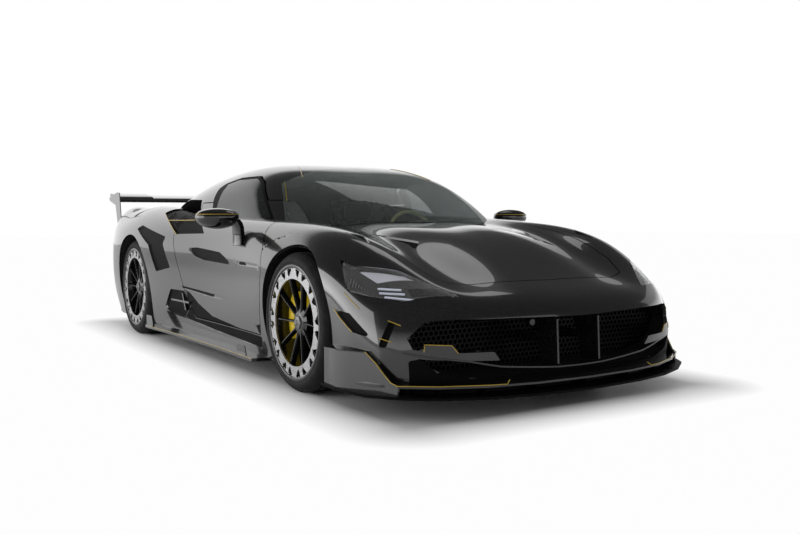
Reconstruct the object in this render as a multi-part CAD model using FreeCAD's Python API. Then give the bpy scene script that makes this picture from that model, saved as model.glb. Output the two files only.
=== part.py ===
"""Mid-engined two-seat supercar with a fixed roof, a tall rear wing and a wide aero kit.

The row frame has +X towards the nose, +Y to the car's left and +Z up. Its origin is on the ground, half-way along
the overall length. Every length is in millimetres. The outer skin is two smooth surfaces, the lower body and the
cabin above it. Each is drawn as a table of offsets, and the panels are cut from shells of these two surfaces, so
they meet flush.
"""

import FreeCAD, Part
import math
import os

V = FreeCAD.Vector
X, Y, Z = V(1, 0, 0), V(0, 1, 0), V(0, 0, 1)

# Driving dimensions
WHEELBASE = 2649.0
FRONT_OVERHANG = 1090.0      # front axle to the splitter's tip
REAR_OVERHANG = 1040.0       # rear axle to the wing's end plates
NOSE = 1010.0                # front axle to the bumper's tip
TAIL = 981.0                 # rear axle to the bumper's end
BODY_WIDTH = 1966.0          # over the rear wings
BELT_HEIGHT = 830.0          # of the deck at the doors
ROOF_HEIGHT = 1190.0
FLOOR_HEIGHT = 110.0         # of the body's lower edge

PANEL = 20.0                 # wall of the body panels, the lid and the roof
DOOR_FLANGE = 15.0           # the door's skin reaches past its inner box all round
GLASS = 6.0
SHUT_GAP = 6.0               # between a moving panel and its neighbours
TAIL_SHUT_GAP = 12.0         # behind the engine cover, which swings back a little as it lifts

FRONT_TYRE_RADIUS = 343.0
REAR_TYRE_RADIUS = 349.0
FRONT_TYRE_WIDTH = 255.0
REAR_TYRE_WIDTH = 315.0
FRONT_WHEEL_Y = 820.0        # of the tyre's middle plane
REAR_WHEEL_Y = 800.0
RIM_RADIUS = 279.0           # over the flanges
BEAD_RADIUS = 266.0
ARCH_GAP = 47.0              # between a tyre's tread and the arch
ARCH_DROP = 10.0             # of the arch's centre below the axle
KINGPIN_Y = 800.0
FRONT_WELL_Y = 530.0         # inner wall of the wheelhouses
REAR_WELL_Y = 600.0
LINER = 6.0                  # wall of the wheelhouse liners
RECESS = 10.0                # depth of the sunk fields in the doors, rear quarters, skirts and lid

FRONT_X = (WHEELBASE + REAR_OVERHANG - FRONT_OVERHANG) / 2
REAR_X = FRONT_X - WHEELBASE
SIDES = (("left", 1), ("right", -1))

# Sizes of the car that the tables of offsets were drawn for
DRAWN_WHEELBASE = 2649.0
DRAWN_NOSE = 1010.0
DRAWN_TAIL = 981.0
DRAWN_WIDTH = 1966.0
DRAWN_BELT = 830.0
DRAWN_ROOF = 1190.0
DRAWN_FLOOR = 110.0


def along(x):
    """Place along the car of a length drawn from the front axle, forwards positive."""
    if x > 0:
        return FRONT_X + x * NOSE / DRAWN_NOSE
    if x > -DRAWN_WHEELBASE:
        return FRONT_X + x * WHEELBASE / DRAWN_WHEELBASE
    return REAR_X + (x + DRAWN_WHEELBASE) * TAIL / DRAWN_TAIL


def out(y):
    return y * BODY_WIDTH / DRAWN_WIDTH


def up(z):
    """Height of a drawn height: the floor, belt and roof heights each scale their own band."""
    if z <= DRAWN_BELT:
        return FLOOR_HEIGHT + (z - DRAWN_FLOOR) * (BELT_HEIGHT - FLOOR_HEIGHT) / (DRAWN_BELT - DRAWN_FLOOR)
    return BELT_HEIGHT + (z - DRAWN_BELT) * (ROOF_HEIGHT - BELT_HEIGHT) / (DRAWN_ROOF - DRAWN_BELT)


def place(x, y, z):
    return V(along(x), out(y), up(z))


# Lower body. Each station runs from the centre line over the wing crest and down the side to the sill.
# It gives how far along, how far out and how high each of its eight points lies.
ZF = DRAWN_FLOOR
BODY_OFFSETS = [
    ([-3560, -3560, -3550, -3510, -3460, -3410, -3350, -3270], [0, 300, 530, 690, 780, 830, 860, 880],
     [ZF] * 8),
    ([-3610, -3610, -3600, -3560, -3500, -3430, -3360, -3270], [0, 300, 550, 730, 820, 870, 885, 885],
     [580, 580, 580, 560, 500, 400, 250, ZF]),
    ([-3630, -3630, -3610, -3570, -3500, -3430, -3360, -3250], [0, 300, 550, 740, 850, 900, 905, 885],
     [890, 890, 885, 870, 740, 520, 300, ZF]),
    ([-3180] * 8, [0, 300, 550, 770, 925, 955, 935, 900], [900, 900, 900, 925, 790, 550, 300, ZF]),
    ([-2650] * 8, [0, 300, 550, 780, 960, 983, 960, 910], [880, 880, 890, 935, 790, 550, 300, ZF]),
    ([-2100] * 8, [0, 300, 550, 780, 945, 965, 940, 905], [850, 850, 860, 905, 770, 520, 280, ZF]),
    ([-1400] * 8, [0, 300, 550, 790, 905, 915, 905, 890], [830, 830, 835, 865, 730, 500, 270, ZF]),
    ([-700] * 8, [0, 300, 550, 790, 905, 920, 905, 890], [830, 830, 825, 845, 720, 480, 270, ZF]),
    ([-50] * 8, [0, 300, 550, 770, 935, 957, 930, 900], [805, 800, 780, 810, 690, 470, 260, ZF]),
    ([420, 420, 410, 400, 385, 370, 355, 340], [0, 300, 540, 750, 920, 945, 930, 900],
     [695, 690, 675, 715, 610, 430, 240, ZF]),
    ([800, 790, 760, 700, 630, 580, 540, 480], [0, 290, 530, 730, 870, 920, 920, 900],
     [550, 548, 545, 560, 480, 360, 220, ZF]),
    ([1000, 985, 940, 850, 760, 690, 620, 530], [0, 280, 520, 710, 820, 880, 900, 900],
     [440, 440, 437, 420, 370, 290, 190, ZF]),
    ([1010, 995, 950, 870, 790, 710, 630, 545], [0, 280, 520, 710, 810, 865, 890, 898],
     [270, 270, 270, 265, 240, 200, 150, ZF]),
    ([980, 965, 930, 860, 785, 715, 640, 575], [0, 280, 520, 700, 795, 848, 878, 892], [ZF] * 8),
]

# Cabin. Each station gives the centre line's place and height, the belt's place, half width and height, and two
# exponents that set how square the arch between them is.
CABIN_SEAT = 700.0           # height that the cabin's skin runs down to, inside the lower body
CABIN_OFFSETS = [
    (-150, CABIN_SEAT, -460, 790, CABIN_SEAT, 2.4, 1.7),
    (-480, 950, -660, 785, 780, 3.2, 2.0),
    (-800, 1100, -900, 780, 800, 3.9, 2.2),
    (-1140, 1180, -1180, 765, 810, 4.2, 2.3),
    (-1550, 1190, -1550, 755, 820, 4.2, 2.3),
    (-2020, 1135, -2020, 735, 840, 4.0, 2.3),
    (-2500, 1035, -2500, 680, 860, 3.6, 2.2),
    (-3000, 945, -3000, 635, 800, 3.2, 2.0),
    (-3360, 885, -3340, 600, 760, 3.0, 1.9),
    (-3560, CABIN_SEAT, -3470, 560, CABIN_SEAT, 2.4, 1.8),
]
ARCH_SHARES = [0, 0.30, 0.58, 0.78, 0.91, 0.98, 1.0]


# Smooth surfaces through a net of points
DEGREE = 3


def chord_parameters(net):
    """One parameter for each row of the net, spaced by the mean square root of the chords between rows."""
    steps = [[(b - a).Length ** 0.5 for a, b in zip(r, s)] for r, s in zip(net, net[1:])]
    totals = [sum(column) for column in zip(*steps)]
    used = [k for k, total in enumerate(totals) if total > 1e-6]
    values = [0.0]
    for row in steps:
        values.append(values[-1] + sum(row[k] / totals[k] for k in used) / len(used))
    values[-1] = 1.0
    return values


def averaged_knots(values):
    inner = [sum(values[j:j + DEGREE]) / DEGREE for j in range(1, len(values) - DEGREE)]
    return [0.0] * (DEGREE + 1) + inner + [1.0] * (DEGREE + 1)


def basis_row(knots, count, t):
    """Values of the cubic B-spline basis at t."""
    if t >= 1:
        return [0.0] * (count - 1) + [1.0]
    row = [1.0 if a <= t < b else 0.0 for a, b in zip(knots, knots[1:])]
    for k in range(1, DEGREE + 1):
        nxt = []
        for i in range(len(knots) - 1 - k):
            left, right = knots[i + k] - knots[i], knots[i + k + 1] - knots[i + 1]
            value = (t - knots[i]) / left * row[i] if left > 0 else 0.0
            value += (knots[i + k + 1] - t) / right * row[i + 1] if right > 0 else 0.0
            nxt.append(value)
        row = nxt
    return row[:count]


def solve_poles(values, rows):
    """Poles of the curves that pass through each row at its parameter, all columns at once."""
    n = len(values)
    knots = averaged_knots(values)
    matrix = [basis_row(knots, n, t) for t in values]
    rows = [list(r) for r in rows]
    for i in range(n):
        pivot = matrix[i][i]
        matrix[i] = [m / pivot for m in matrix[i]]
        rows[i] = [p * (1 / pivot) for p in rows[i]]
        for j in range(n):
            share = matrix[j][i]
            if j != i and share:
                matrix[j] = [a - share * b for a, b in zip(matrix[j], matrix[i])]
                rows[j] = [a - b * share for a, b in zip(rows[j], rows[i])]
    return rows


def transposed(net):
    return [list(column) for column in zip(*net)]


def skin_surface(net):
    """The smooth surface through every point of the net, and the parameters of its rows and columns."""
    us, vs = chord_parameters(net), chord_parameters(transposed(net))
    poles = transposed(solve_poles(vs, transposed(solve_poles(us, net))))
    surface = Part.BSplineSurface()
    ku, kv = averaged_knots(us), averaged_knots(vs)
    surface.buildFromPolesMultsKnots(
        poles, multiplicities(ku), multiplicities(kv), sorted(set(ku)), sorted(set(kv)),
        False, False, DEGREE, DEGREE)
    return surface, us, vs


def multiplicities(knots):
    return [knots.count(k) for k in sorted(set(knots))]


def mirrored_net(half):
    """The net of the whole car from that of its left half, whose first column is the centre line."""
    return [[V(p.x, -p.y, p.z) for p in row[:0:-1]] + row for row in half]


def closed_solid(net):
    """The solid under the surface through the net, whose whole border lies at one height."""
    surface, us, vs = skin_surface(net)
    face = surface.toShape()
    cap = Part.Face(Part.Wire(Part.__sortEdges__(face.OuterWire.Edges)))
    solid = Part.Solid(Part.Shell([face, cap]))
    if solid.Volume < 0:
        solid.reverse()
    return solid


def border_cells(net):
    """Row and column of each border point, once round the net."""
    m, n = len(net) - 1, len(net[0]) - 1
    return ([(0, j) for j in range(n)] + [(i, n) for i in range(m)]
            + [(m, j) for j in range(n, 0, -1)] + [(i, 0) for i in range(m, 0, -1)])


def inset_net(net, wall):
    """The net moved inwards by a wall thickness. Its border goes inwards level."""
    surface, us, vs = skin_surface(net)
    middle = surface.normal(us[len(us) // 2], vs[len(vs) // 2])
    sign = 1 if middle.z > 0 else -1
    moved = [[p - surface.normal(us[i], vs[j]) * wall * sign for j, p in enumerate(row)]
             for i, row in enumerate(net)]
    cells = border_cells(net)
    centre = sum((net[i][j] for i, j in cells), V()) * (1 / len(cells))
    for k, (i, j) in enumerate(cells):
        before, after = cells[k - 1], cells[(k + 1) % len(cells)]
        run = net[after[0]][after[1]] - net[before[0]][before[1]]
        level = V(run.y, -run.x, 0)
        level.normalize()
        if level.dot(net[i][j] - centre) < 0:
            level = -level
        moved[i][j] = net[i][j] - level * wall
    return moved


def body_net():
    half = [[place(x, y, z) for x, y, z in zip(*station)] for station in BODY_OFFSETS]
    return mirrored_net(half)


def cabin_net(wall=0.0):
    """The cabin's skin, or the skin that a wall of this thickness has on its inside."""
    half = []
    last = len(CABIN_OFFSETS) - 1
    for k, (x_mid, z_mid, x_belt, y_belt, z_belt, m, n) in enumerate(CABIN_OFFSETS):
        seat = k in (0, last)
        shift = (-1.6 if k == 0 else 1.6 if k == last else 0.0) * wall
        drop = 0.0 if seat else wall
        row = []
        for s in ARCH_SHARES:
            rise = (1 - s ** m) ** (1 / n)
            p = place(x_mid + (x_belt - x_mid) * s * s, y_belt * s, z_belt + (z_mid - z_belt) * rise)
            row.append(p + V(shift, -wall * s, -drop * rise))
        p = place(x_belt, y_belt + 4, CABIN_SEAT)
        row.append(p + V(shift, -wall, 0))
        half.append(row)
    half[0][-1] = place(-530, 797, CABIN_SEAT) + V(0, -wall, 0)
    half[-1][-1] = place(-3420, 585, CABIN_SEAT) + V(0, -wall, 0)
    return mirrored_net(half)


# Prisms that cut the panels from the skin, each drawn in one view
def grown(wire, by):
    return wire.makeOffset2D(by, 2, False, False) if by else wire


def prism(corners, direction, by):
    corners = corners + corners[:1]
    return Part.Face(grown(Part.makePolygon(corners), by)).extrude(direction)


def side_prism(outline, y0, y1, by=0):
    """Straight across the car, from an outline of (along, up)."""
    corners = [V(along(x), out(y0), up(z)) for x, z in outline]
    return prism(corners, V(0, out(y1) - out(y0), 0), by)


def plan_prism(outline, z0, z1, by=0):
    """Straight up, from an outline of (along, out)."""
    corners = [V(along(x), out(y), up(z0)) for x, y in outline]
    return prism(corners, V(0, 0, up(z1) - up(z0)), by)


def front_prism(outline, x0, x1, by=0):
    """Straight along the car, from an outline of (out, up)."""
    corners = [V(along(x0), out(y), up(z)) for y, z in outline]
    return prism(corners, V(along(x1) - along(x0), 0, 0), by)


def facing_prism(outline, facing, reach, by=0):
    """Through the skin in a slanted direction, from an outline of points on the skin."""
    points = [place(*p) for p in outline]
    middle = sum(points, V()) * (1 / len(points))
    facing = V(facing)
    facing.normalize()
    flat = [p - facing * facing.dot(p - middle) for p in points]
    hole = prism(flat, facing * 2 * reach, by)
    hole.translate(-facing * reach)
    return hole


def block(x0, x1, y0, y1, z0, z1):
    """A box between two drawn corners."""
    low, high = place(min(x0, x1), min(y0, y1), min(z0, z1)), place(max(x0, x1), max(y0, y1), max(z0, z1))
    return Part.makeBox(high.x - low.x, high.y - low.y, high.z - low.z, low)


def both(half_outline):
    """A whole outline from its left half, listed from the centre line round and back to it."""
    return half_outline + [(x, -y) for x, y in half_outline[::-1] if y > 0]


def both_front(half_outline):
    return half_outline + [(-y, z) for y, z in half_outline[::-1] if y > 0]


def mirrored(shape):
    return shape.mirror(V(), Y)


def joined(*shapes):
    result = shapes[0]
    for shape in shapes[1:]:
        result = result.fuse(shape)
    return result


def rod(a, b, radius):
    return Part.makeCylinder(radius, (b - a).Length, a, b - a)


def turned(profile, centre, axis=Y):
    """A ring or disc from a profile of (radius, along the axis)."""
    corners = [V(r, w, 0) for r, w in profile]
    face = Part.Face(Part.makePolygon(corners + corners[:1]))
    ring = face.revolve(V(), Y, 360)
    ring.translate(centre)
    return ring


nodes = {}


# Skins
outer = closed_solid(body_net())
inner = closed_solid(inset_net(body_net(), PANEL))
sunk = closed_solid(inset_net(body_net(), RECESS))
cabin = closed_solid(cabin_net())
cabin_inner = closed_solid(cabin_net(PANEL))
glass_inner = closed_solid(cabin_net(GLASS))

ARCHES = {
    "front": (FRONT_X, FRONT_TYRE_RADIUS, FRONT_WELL_Y),
    "rear": (REAR_X, REAR_TYRE_RADIUS, REAR_WELL_Y),
}


def arch(axle, side, grow=0.0, shift=0.0):
    """The round space of one wheelhouse, from its inner wall outwards."""
    x, radius, wall = ARCHES[axle]
    start = V(x, side * (out(wall) - shift), radius - ARCH_DROP)
    return Part.makeCylinder(radius + ARCH_GAP + grow, BODY_WIDTH / 2, start, Y * side)


arches = [arch(axle, side) for axle in ARCHES for side in (1, -1)]

REST_GAP = 0.5               # between a closed lid and the ledge that it rests on
under_lids = joined(closed_solid(inset_net(body_net(), PANEL + REST_GAP)), closed_solid(cabin_net(PANEL + REST_GAP)))

# Outlines of the panels, drawn from the front axle
LID_OUTLINE = both([(768, 0), (762, 200), (738, 430), (690, 560), (560, 610), (300, 630), (-60, 640),
                    (-430, 665), (-400, 560), (-300, 400), (-225, 230), (-195, 0)])
COVER_REAR = -3250


def cover_outline(rear):
    return both([(-2060, 0), (-2060, 545), (-2220, 545), (-2600, 505), (-3000, 470), (rear, 440), (rear, 0)])


DOOR_OUTLINE = [(-470, 232), (-450, 330), (-392, 560), (-400, 700), (-470, 800), (-520, 950), (-1800, 950),
                (-1815, 800), (-1802, 720), (-1732, 572), (-1647, 407), (-1560, 300), (-1480, 232)]
WINDOW_OUTLINE = [(-566, 760), (-566, 795), (-760, 925), (-1000, 1062), (-1120, 1102), (-1370, 1100),
                  (-1560, 1068), (-1610, 1040), (-1590, 900), (-1570, 760)]
SCREEN_OUTLINE = both([(-100, 0), (-180, 330), (-320, 560), (-470, 705), (-560, 715), (-880, 590),
                       (-900, 470), (-980, 300), (-1055, 0)])
SCOOP_OUTLINE = [(-1785, 832), (-1850, 975), (-2250, 985), (-2750, 930), (-2400, 880), (-1960, 835)]
BUMPER_SEAM = 272            # front bumper's upper corners, from the front axle
REAR_SEAM = -3120            # rear bumper's front edge
BELT_SLOT = 775              # the window's lower edge, in the door's top
GRILLE_OUTLINE = both_front([(0, 416), (390, 424), (640, 424), (735, 415), (800, 345), (775, 268), (700, 200),
                             (560, 168), (0, 160)])
LAMP_OUTLINE = [(366, 883, 664), (456, 866, 640), (611, 721, 617), (846, 550, 511), (735, 775, 490),
                (600, 862, 500), (489, 918, 526)]
LAMP_FACING = V(0.50, 0.52, 0.69)
SLASH_OUTLINE = [(-440, 586), (-454, 606), (-800, 636), (-1115, 658), (-1500, 668), (-1575, 656), (-1440, 612),
                 (-1297, 589), (-900, 585)]
GILL_OUTLINE = [(-2524, 778), (-2446, 805), (-1934, 729), (-1969, 684), (-1850, 527), (-2103, 490), (-2232, 669)]
DUCT_OUTLINE = [(-1930, 368), (-1640, 372), (-1520, 232), (-1990, 250)]
VENT_OUTLINE = [(440, 300), (330, 350), (400, 500), (500, 520)]
SLOT_OUTLINES = (
    [(451, 925, 553), (500, 928, 553), (638, 896, 400), (620, 902, 360), (590, 908, 370)],
    [(404, 938, 571), (420, 938, 571), (536, 914, 500), (526, 918, 488)],
    [(709, 852, 395), (740, 836, 395), (722, 860, 299), (690, 880, 299)],
)
SLOT_FACING = V(0.50, 0.86, 0)

# Body panels
shell = outer.cut(inner).cut(cabin).cut(Part.makeCompound(arches))
shutters = [
    plan_prism(LID_OUTLINE, 420, 1000, SHUT_GAP),
    plan_prism(cover_outline(COVER_REAR + SHUT_GAP - TAIL_SHUT_GAP), 780, 1300, SHUT_GAP),
    side_prism(DOOR_OUTLINE, 600, 1200, SHUT_GAP),
    side_prism(DOOR_OUTLINE, -600, -1200, SHUT_GAP),
]
fixed = shell.cut(Part.makeCompound(shutters))


def sunk_field(zone):
    """What a zone takes off the skin to leave it sunk by the recess depth."""
    left = zone.cut(sunk)
    return Part.makeCompound([left, mirrored(left)])


slash = sunk_field(side_prism(SLASH_OUTLINE, 700, 1100))
gill = sunk_field(side_prism(GILL_OUTLINE, 600, 1100))
duct = sunk_field(side_prism(DUCT_OUTLINE, 700, 1100))
vents = sunk_field(plan_prism(VENT_OUTLINE, 560, 900))
corner_slots = [sunk_field(facing_prism(points, SLOT_FACING, 60)) for points in SLOT_OUTLINES]
grille_hole = front_prism(GRILLE_OUTLINE, 560, 1200)
lamp_hole = facing_prism(LAMP_OUTLINE, LAMP_FACING, 120)
lamp_holes = [lamp_hole, mirrored(lamp_hole)]
EXHAUST_Y, EXHAUST_Z = 100, 470
PIPE_BORE, PIPE_RADIUS, PIPE_LENGTH = 52.0, 60.0, 170.0
PIPE_HOLE = 62.0
pipe_holes = [Part.makeCylinder(PIPE_HOLE, 400, place(-3400, side * EXHAUST_Y, EXHAUST_Z), -X) for side in (1, -1)]
tail_hole = front_prism(both_front([(0, 640), (560, 640), (700, 655), (800, 690), (770, 740), (0, 740)]), -3800, -3440)

front_zone = side_prism([(BUMPER_SEAM, 0), (BUMPER_SEAM, 900), (1400, 900), (1400, 0)], -1200, 1200)
rear_zone = side_prism([(REAR_SEAM, 0), (REAR_SEAM, 1200), (-4000, 1200), (-4000, 0)], -1200, 1200)
sill_zone = side_prism([(-300, 0), (-300, 200), (-475, 222), (-1485, 222), (-1655, 395), (-1700, 440),
                        (-2400, 445), (-2400, 0)], -1200, 1200)

lid_zone = plan_prism(LID_OUTLINE, 420, 1000)
nodes["front_lid"] = shell.common(lid_zone).cut(vents)
nodes["bumper_front"] = fixed.common(front_zone).cut(Part.makeCompound([grille_hole] + lamp_holes + corner_slots))
nodes["headlamps"] = outer.cut(inner).common(Part.makeCompound(lamp_holes))
tail_ledge = joined(block(-3262, -3200, -420, 420, 860, 905).common(under_lids),
                    block(-3300, -3261, -420, 420, 860, 905).common(inner)).cut(cabin)
under_tail = side_prism([(-3000, 60), (-3045, 115), (-3300, 156), (-3611, 258), (-3720, 258), (-3720, 60)],
                        -708, 708)
plate_seat = block(-3636, -3560, -262, 262, 290, 405).cut(inner)
rear_skin = fixed.common(rear_zone).cut(tail_hole).cut(Part.makeCompound(pipe_holes))
nodes["bumper_rear"] = joined(rear_skin.cut(under_tail), tail_ledge, plate_seat)
nodes["tail_lamps"] = outer.cut(inner).common(tail_hole)
blade_outline = [(-400, 880), (-420, 985), (-1000, 975), (-1700, 985), (-2170, 1010), (-2230, 1005), (-2200, 880)]
skirt_blade = plan_prism(blade_outline, 97, 116)
skirt_fins = [block(-2200, -2060, 1000, 1006, 110, 190), block(-700, -560, 950, 956, 110, 160)]
skirt_side = joined(skirt_blade, *skirt_fins).cut(Part.makeCompound(arches))
nodes["side_skirts"] = joined(fixed.common(sill_zone).cut(duct), skirt_side, mirrored(skirt_side))
rest = fixed.cut(front_zone).cut(rear_zone).cut(sill_zone)
fender_zone = side_prism([(BUMPER_SEAM, 0), (BUMPER_SEAM, 1200), (-900, 1200), (-900, 0)], -1200, 1200)
nodes["fenders"] = rest.common(fender_zone)
nodes["rear_quarters"] = rest.cut(fender_zone).cut(gill)

# Door hinges, whose pins stand far enough back that the door's front edge clears the wing
HINGE_X, HINGE_Y = -532, 905
HINGE_LEVELS = (400, 645)
PIN_RADIUS = 7.0
PIN_LENGTH = 90.0
PIN_PLAY = 0.3               # between the pin and its bore in the door
HINGE_PLATE = 18.0           # height of the hinge's plate
HINGE_TIP_RADIUS = 13.0
HINGE_ROOT_Y = 740
NOTCH_HEIGHT = 32.0          # of the space in the door round each hinge
NOTCH_RADIUS = 18.0
NOTCH_FRONT = 28.0           # how far the space reaches in front of the pin
hinges, hinge_notches = [], []
for level in HINGE_LEVELS:
    pivot = place(HINGE_X, HINGE_Y, level)
    wall_y = out(HINGE_ROOT_Y)
    plate = Part.makeBox(HINGE_TIP_RADIUS, pivot.y - wall_y, HINGE_PLATE,
                         V(pivot.x - HINGE_TIP_RADIUS, wall_y, pivot.z - HINGE_PLATE / 2))
    tip = Part.makeCylinder(HINGE_TIP_RADIUS, HINGE_PLATE, pivot + V(0, 0, -HINGE_PLATE / 2))
    pin = Part.makeCylinder(PIN_RADIUS, PIN_LENGTH, pivot + V(0, 0, -PIN_LENGTH / 2))
    hinges.append(joined(plate, tip, pin))
    notch = Part.makeBox(400, pivot.y - 4 - 600, NOTCH_HEIGHT,
                         V(pivot.x - NOTCH_FRONT, 600, pivot.z - NOTCH_HEIGHT / 2))
    hinge_notches += [notch, Part.makeCylinder(NOTCH_RADIUS, NOTCH_HEIGHT, pivot + V(0, 0, -NOTCH_HEIGHT / 2)),
                      Part.makeCylinder(PIN_RADIUS + PIN_PLAY, PIN_LENGTH + 2, pivot + V(0, 0, -PIN_LENGTH / 2 - 1))]
nodes["door_hinges"] = Part.makeCompound(hinges + [mirrored(h) for h in hinges])

# Cabin skin
window_zones = [side_prism(WINDOW_OUTLINE, 500, 1000), side_prism(WINDOW_OUTLINE, -500, -1000)]
window_shutters = [side_prism(WINDOW_OUTLINE, 500, 1000, SHUT_GAP), side_prism(WINDOW_OUTLINE, -500, -1000, SHUT_GAP)]
scoop_zones = [side_prism(SCOOP_OUTLINE, 300, 1000), side_prism(SCOOP_OUTLINE, -300, -1000)]
screen_zone = plan_prism(SCREEN_OUTLINE, 600, 1300)
canopy = cabin.cut(cabin_inner).cut(outer)
glazing = cabin.cut(glass_inner).cut(outer)
nodes["windscreen"] = glazing.common(screen_zone)
cover_zone = plan_prism(cover_outline(COVER_REAR), 780, 1300)
nodes["engine_cover"] = joined(canopy.common(cover_zone), shell.common(cover_zone))
roof_ledge = joined(block(-2100, -2050, -470, 470, 1060, 1200).common(under_lids),
                    block(-2051, -2010, -470, 470, 1060, 1200).common(cabin_inner))
roof_panel = canopy.cut(Part.makeCompound([screen_zone] + window_shutters + scoop_zones + shutters[1:]))
nodes["roof"] = roof_panel.fuse(roof_ledge)

# Doors
DOOR_INSIDE = [(0, 100), (805, 100), (812, 300), (838, 500), (815, 680), (700, 770), (690, 1300), (0, 1300)]
door_full = side_prism(DOOR_OUTLINE, 600, 1200)
door_core = side_prism(DOOR_OUTLINE, 600, 1200, -DOOR_FLANGE)
door_skin = outer.cut(inner).common(door_full)
door_box = outer.common(door_core).cut(front_prism(DOOR_INSIDE, -300, -2000))
glass_space = cabin.common(block(-3000, 0, 0, 1000, BELT_SLOT, 1300))
door = joined(door_skin, door_box).cut(glass_space).cut(Part.makeCompound(hinge_notches)).cut(slash)
nodes["door_left"] = door
glass_left = cabin.cut(glass_inner).common(side_prism(WINDOW_OUTLINE, 500, 1000)).cut(door)
glass_left = glass_left.common(block(-3000, 0, 0, 1000, BELT_SLOT, 1300))
nodes["door_glass_left"] = glass_left
nodes["door_right"] = mirrored(door)
nodes["door_glass_right"] = mirrored(glass_left)

# Structure inside the body
JACK_PAD_RADIUS = 32.0
JACK_PAD_LEVEL = 102
JACK_PAD_HEIGHT = 10.0
JACK_X = (-560, -1640)
JACK_Y = (-800, 800)
SEAT_Y = 370.0
SEAT_WIDTH = 460.0
FLOOR_OUTLINE = both([(700, 0), (700, 560), (330, 526), (-330, 526), (-420, 930), (-1790, 930), (-1960, 596),
                      (-3180, 596), (-3180, 0)])
FLOOR_TOP = 128              # of the tub's floor plate
SILL_TOP = 330
NOSE_WALL_Y = (506, 526)     # walls of the luggage well
BAY_WALL_Y = (576, 596)      # walls of the engine bay
WELL_REAR, WELL_FRONT = (120, 140), (640, 660)
FIREWALL_X = (-1800, -1770)
BULKHEAD_X = (-420, -390)


def wall_pair(x0, x1, y0, y1, top):
    """A wall from the floor up, on each side of the car."""
    return joined(block(x0, x1, y0, y1, FLOOR_TOP, top), block(x0, x1, -y1, -y0, FLOOR_TOP, top))


tub = joined(
    plan_prism(FLOOR_OUTLINE, FLOOR_HEIGHT, FLOOR_TOP),
    wall_pair(-1790, BULKHEAD_X[0], 640, 780, SILL_TOP),
    block(*BULKHEAD_X, -740, 740, FLOOR_TOP, 640),
    wall_pair(-560, -400, 715, 740, 690),
    block(*FIREWALL_X, -690, 690, FLOOR_TOP, 930),
    block(FIREWALL_X[1], BULKHEAD_X[0], -110, 110, FLOOR_TOP, 300),
    wall_pair(BULKHEAD_X[0], WELL_FRONT[1], *NOSE_WALL_Y, 900),
    block(*WELL_REAR, -520, 520, FLOOR_TOP, 560),
    block(*WELL_FRONT, -NOSE_WALL_Y[1], NOSE_WALL_Y[1], FLOOR_TOP, 900),
    wall_pair(-3160, FIREWALL_X[0], *BAY_WALL_Y, 620),
    block(-3140, -3120, -BAY_WALL_Y[1], BAY_WALL_Y[1], FLOOR_TOP, 620),
)
lined = Part.makeCompound([arch(axle, side, LINER, LINER) for axle in ARCHES for side in (1, -1)])
nodes["wheelhouses"] = Part.makeCompound([
    arch(axle, side, LINER, LINER).common(inner).cut(arch(axle, side)) for axle in ARCHES for side in (1, -1)])
jack_pads = [Part.makeCylinder(JACK_PAD_RADIUS, JACK_PAD_HEIGHT, place(x, y, JACK_PAD_LEVEL)) for x in JACK_X for y in JACK_Y]
tub = joined(tub.cut(lined).cut(under_tail).common(under_lids), *jack_pads)
nose_zone = block(WELL_REAR[0], NOSE, -BODY_WIDTH / 2, BODY_WIDTH / 2, FLOOR_HEIGHT - PANEL, BELT_HEIGHT + PANEL)
nodes["nose_box"] = tub.common(nose_zone)
nodes["tub"] = tub.cut(nose_zone)

# Engine, seats and dashboard
engine = joined(
    block(-2560, -1960, -210, 210, 200, 520),
    block(-2500, -2010, -330, -120, 420, 660), block(-2500, -2010, 120, 330, 420, 660),
    block(-2960, -2560, -170, 170, 190, 470),
)
nodes["engine"] = joined(engine, block(-2560, -1960, -210, 210, 128, 200))

SEAT_PROFILE = [(-960, 128), (-960, 290), (-1010, 330), (-1300, 270), (-1420, 300), (-1600, 760), (-1650, 1000),
                (-1725, 990), (-1720, 760), (-1620, 300), (-1560, 128)]
seat = side_prism(SEAT_PROFILE, SEAT_Y - SEAT_WIDTH / 2, SEAT_Y + SEAT_WIDTH / 2)
nodes["seats"] = Part.makeCompound([seat, mirrored(seat)])

DASH_HALF = 675
DASH_PROFILE = [(-392, 600), (-392, 770), (-480, 805), (-760, 800), (-815, 770), (-800, 680), (-700, 600),
                (-560, 560), (-422, 560)]
dash = side_prism(DASH_PROFILE, -DASH_HALF, DASH_HALF).common(joined(inner, cabin_inner))
dash = dash.cut(tub)
nodes["dashboard"] = dash

# Steering wheel
WHEEL_TILT = 22.0
WHEEL_CENTRE = place(-930, SEAT_Y, 730)
column = V(math.cos(math.radians(WHEEL_TILT)), 0, -math.sin(math.radians(WHEEL_TILT)))
GRIP_RING, GRIP_RADIUS = 172.0, 15.0
HUB_RADIUS, HUB_DEPTH = 62.0, 30.0
STUB_RADIUS, STUB_LENGTH = 26.0, 90.0
SLEEVE_RADIUS, SLEEVE_LENGTH = 32.0, 200.0
SLEEVE_GAP = 0.5
BAR_LENGTH, BAR_WIDTH, BAR_DEPTH = 150.0, 34.0, 12.0
rim_ring = Part.makeTorus(GRIP_RING, GRIP_RADIUS, V(), Z)
hub = Part.makeCylinder(HUB_RADIUS, HUB_DEPTH, V(0, 0, -HUB_DEPTH / 2))
bars = [Part.makeBox(BAR_LENGTH, BAR_WIDTH, BAR_DEPTH, V(20, -BAR_WIDTH / 2, -8)) for k in range(3)]
for bar, angle in zip(bars, (0, 180, -90)):
    bar.rotate(V(), Z, angle)
stub = Part.makeCylinder(STUB_RADIUS, STUB_LENGTH, V())
wheel = joined(rim_ring, hub, *bars).fuse(stub)
wheel.rotate(V(), Z, 90)
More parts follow.
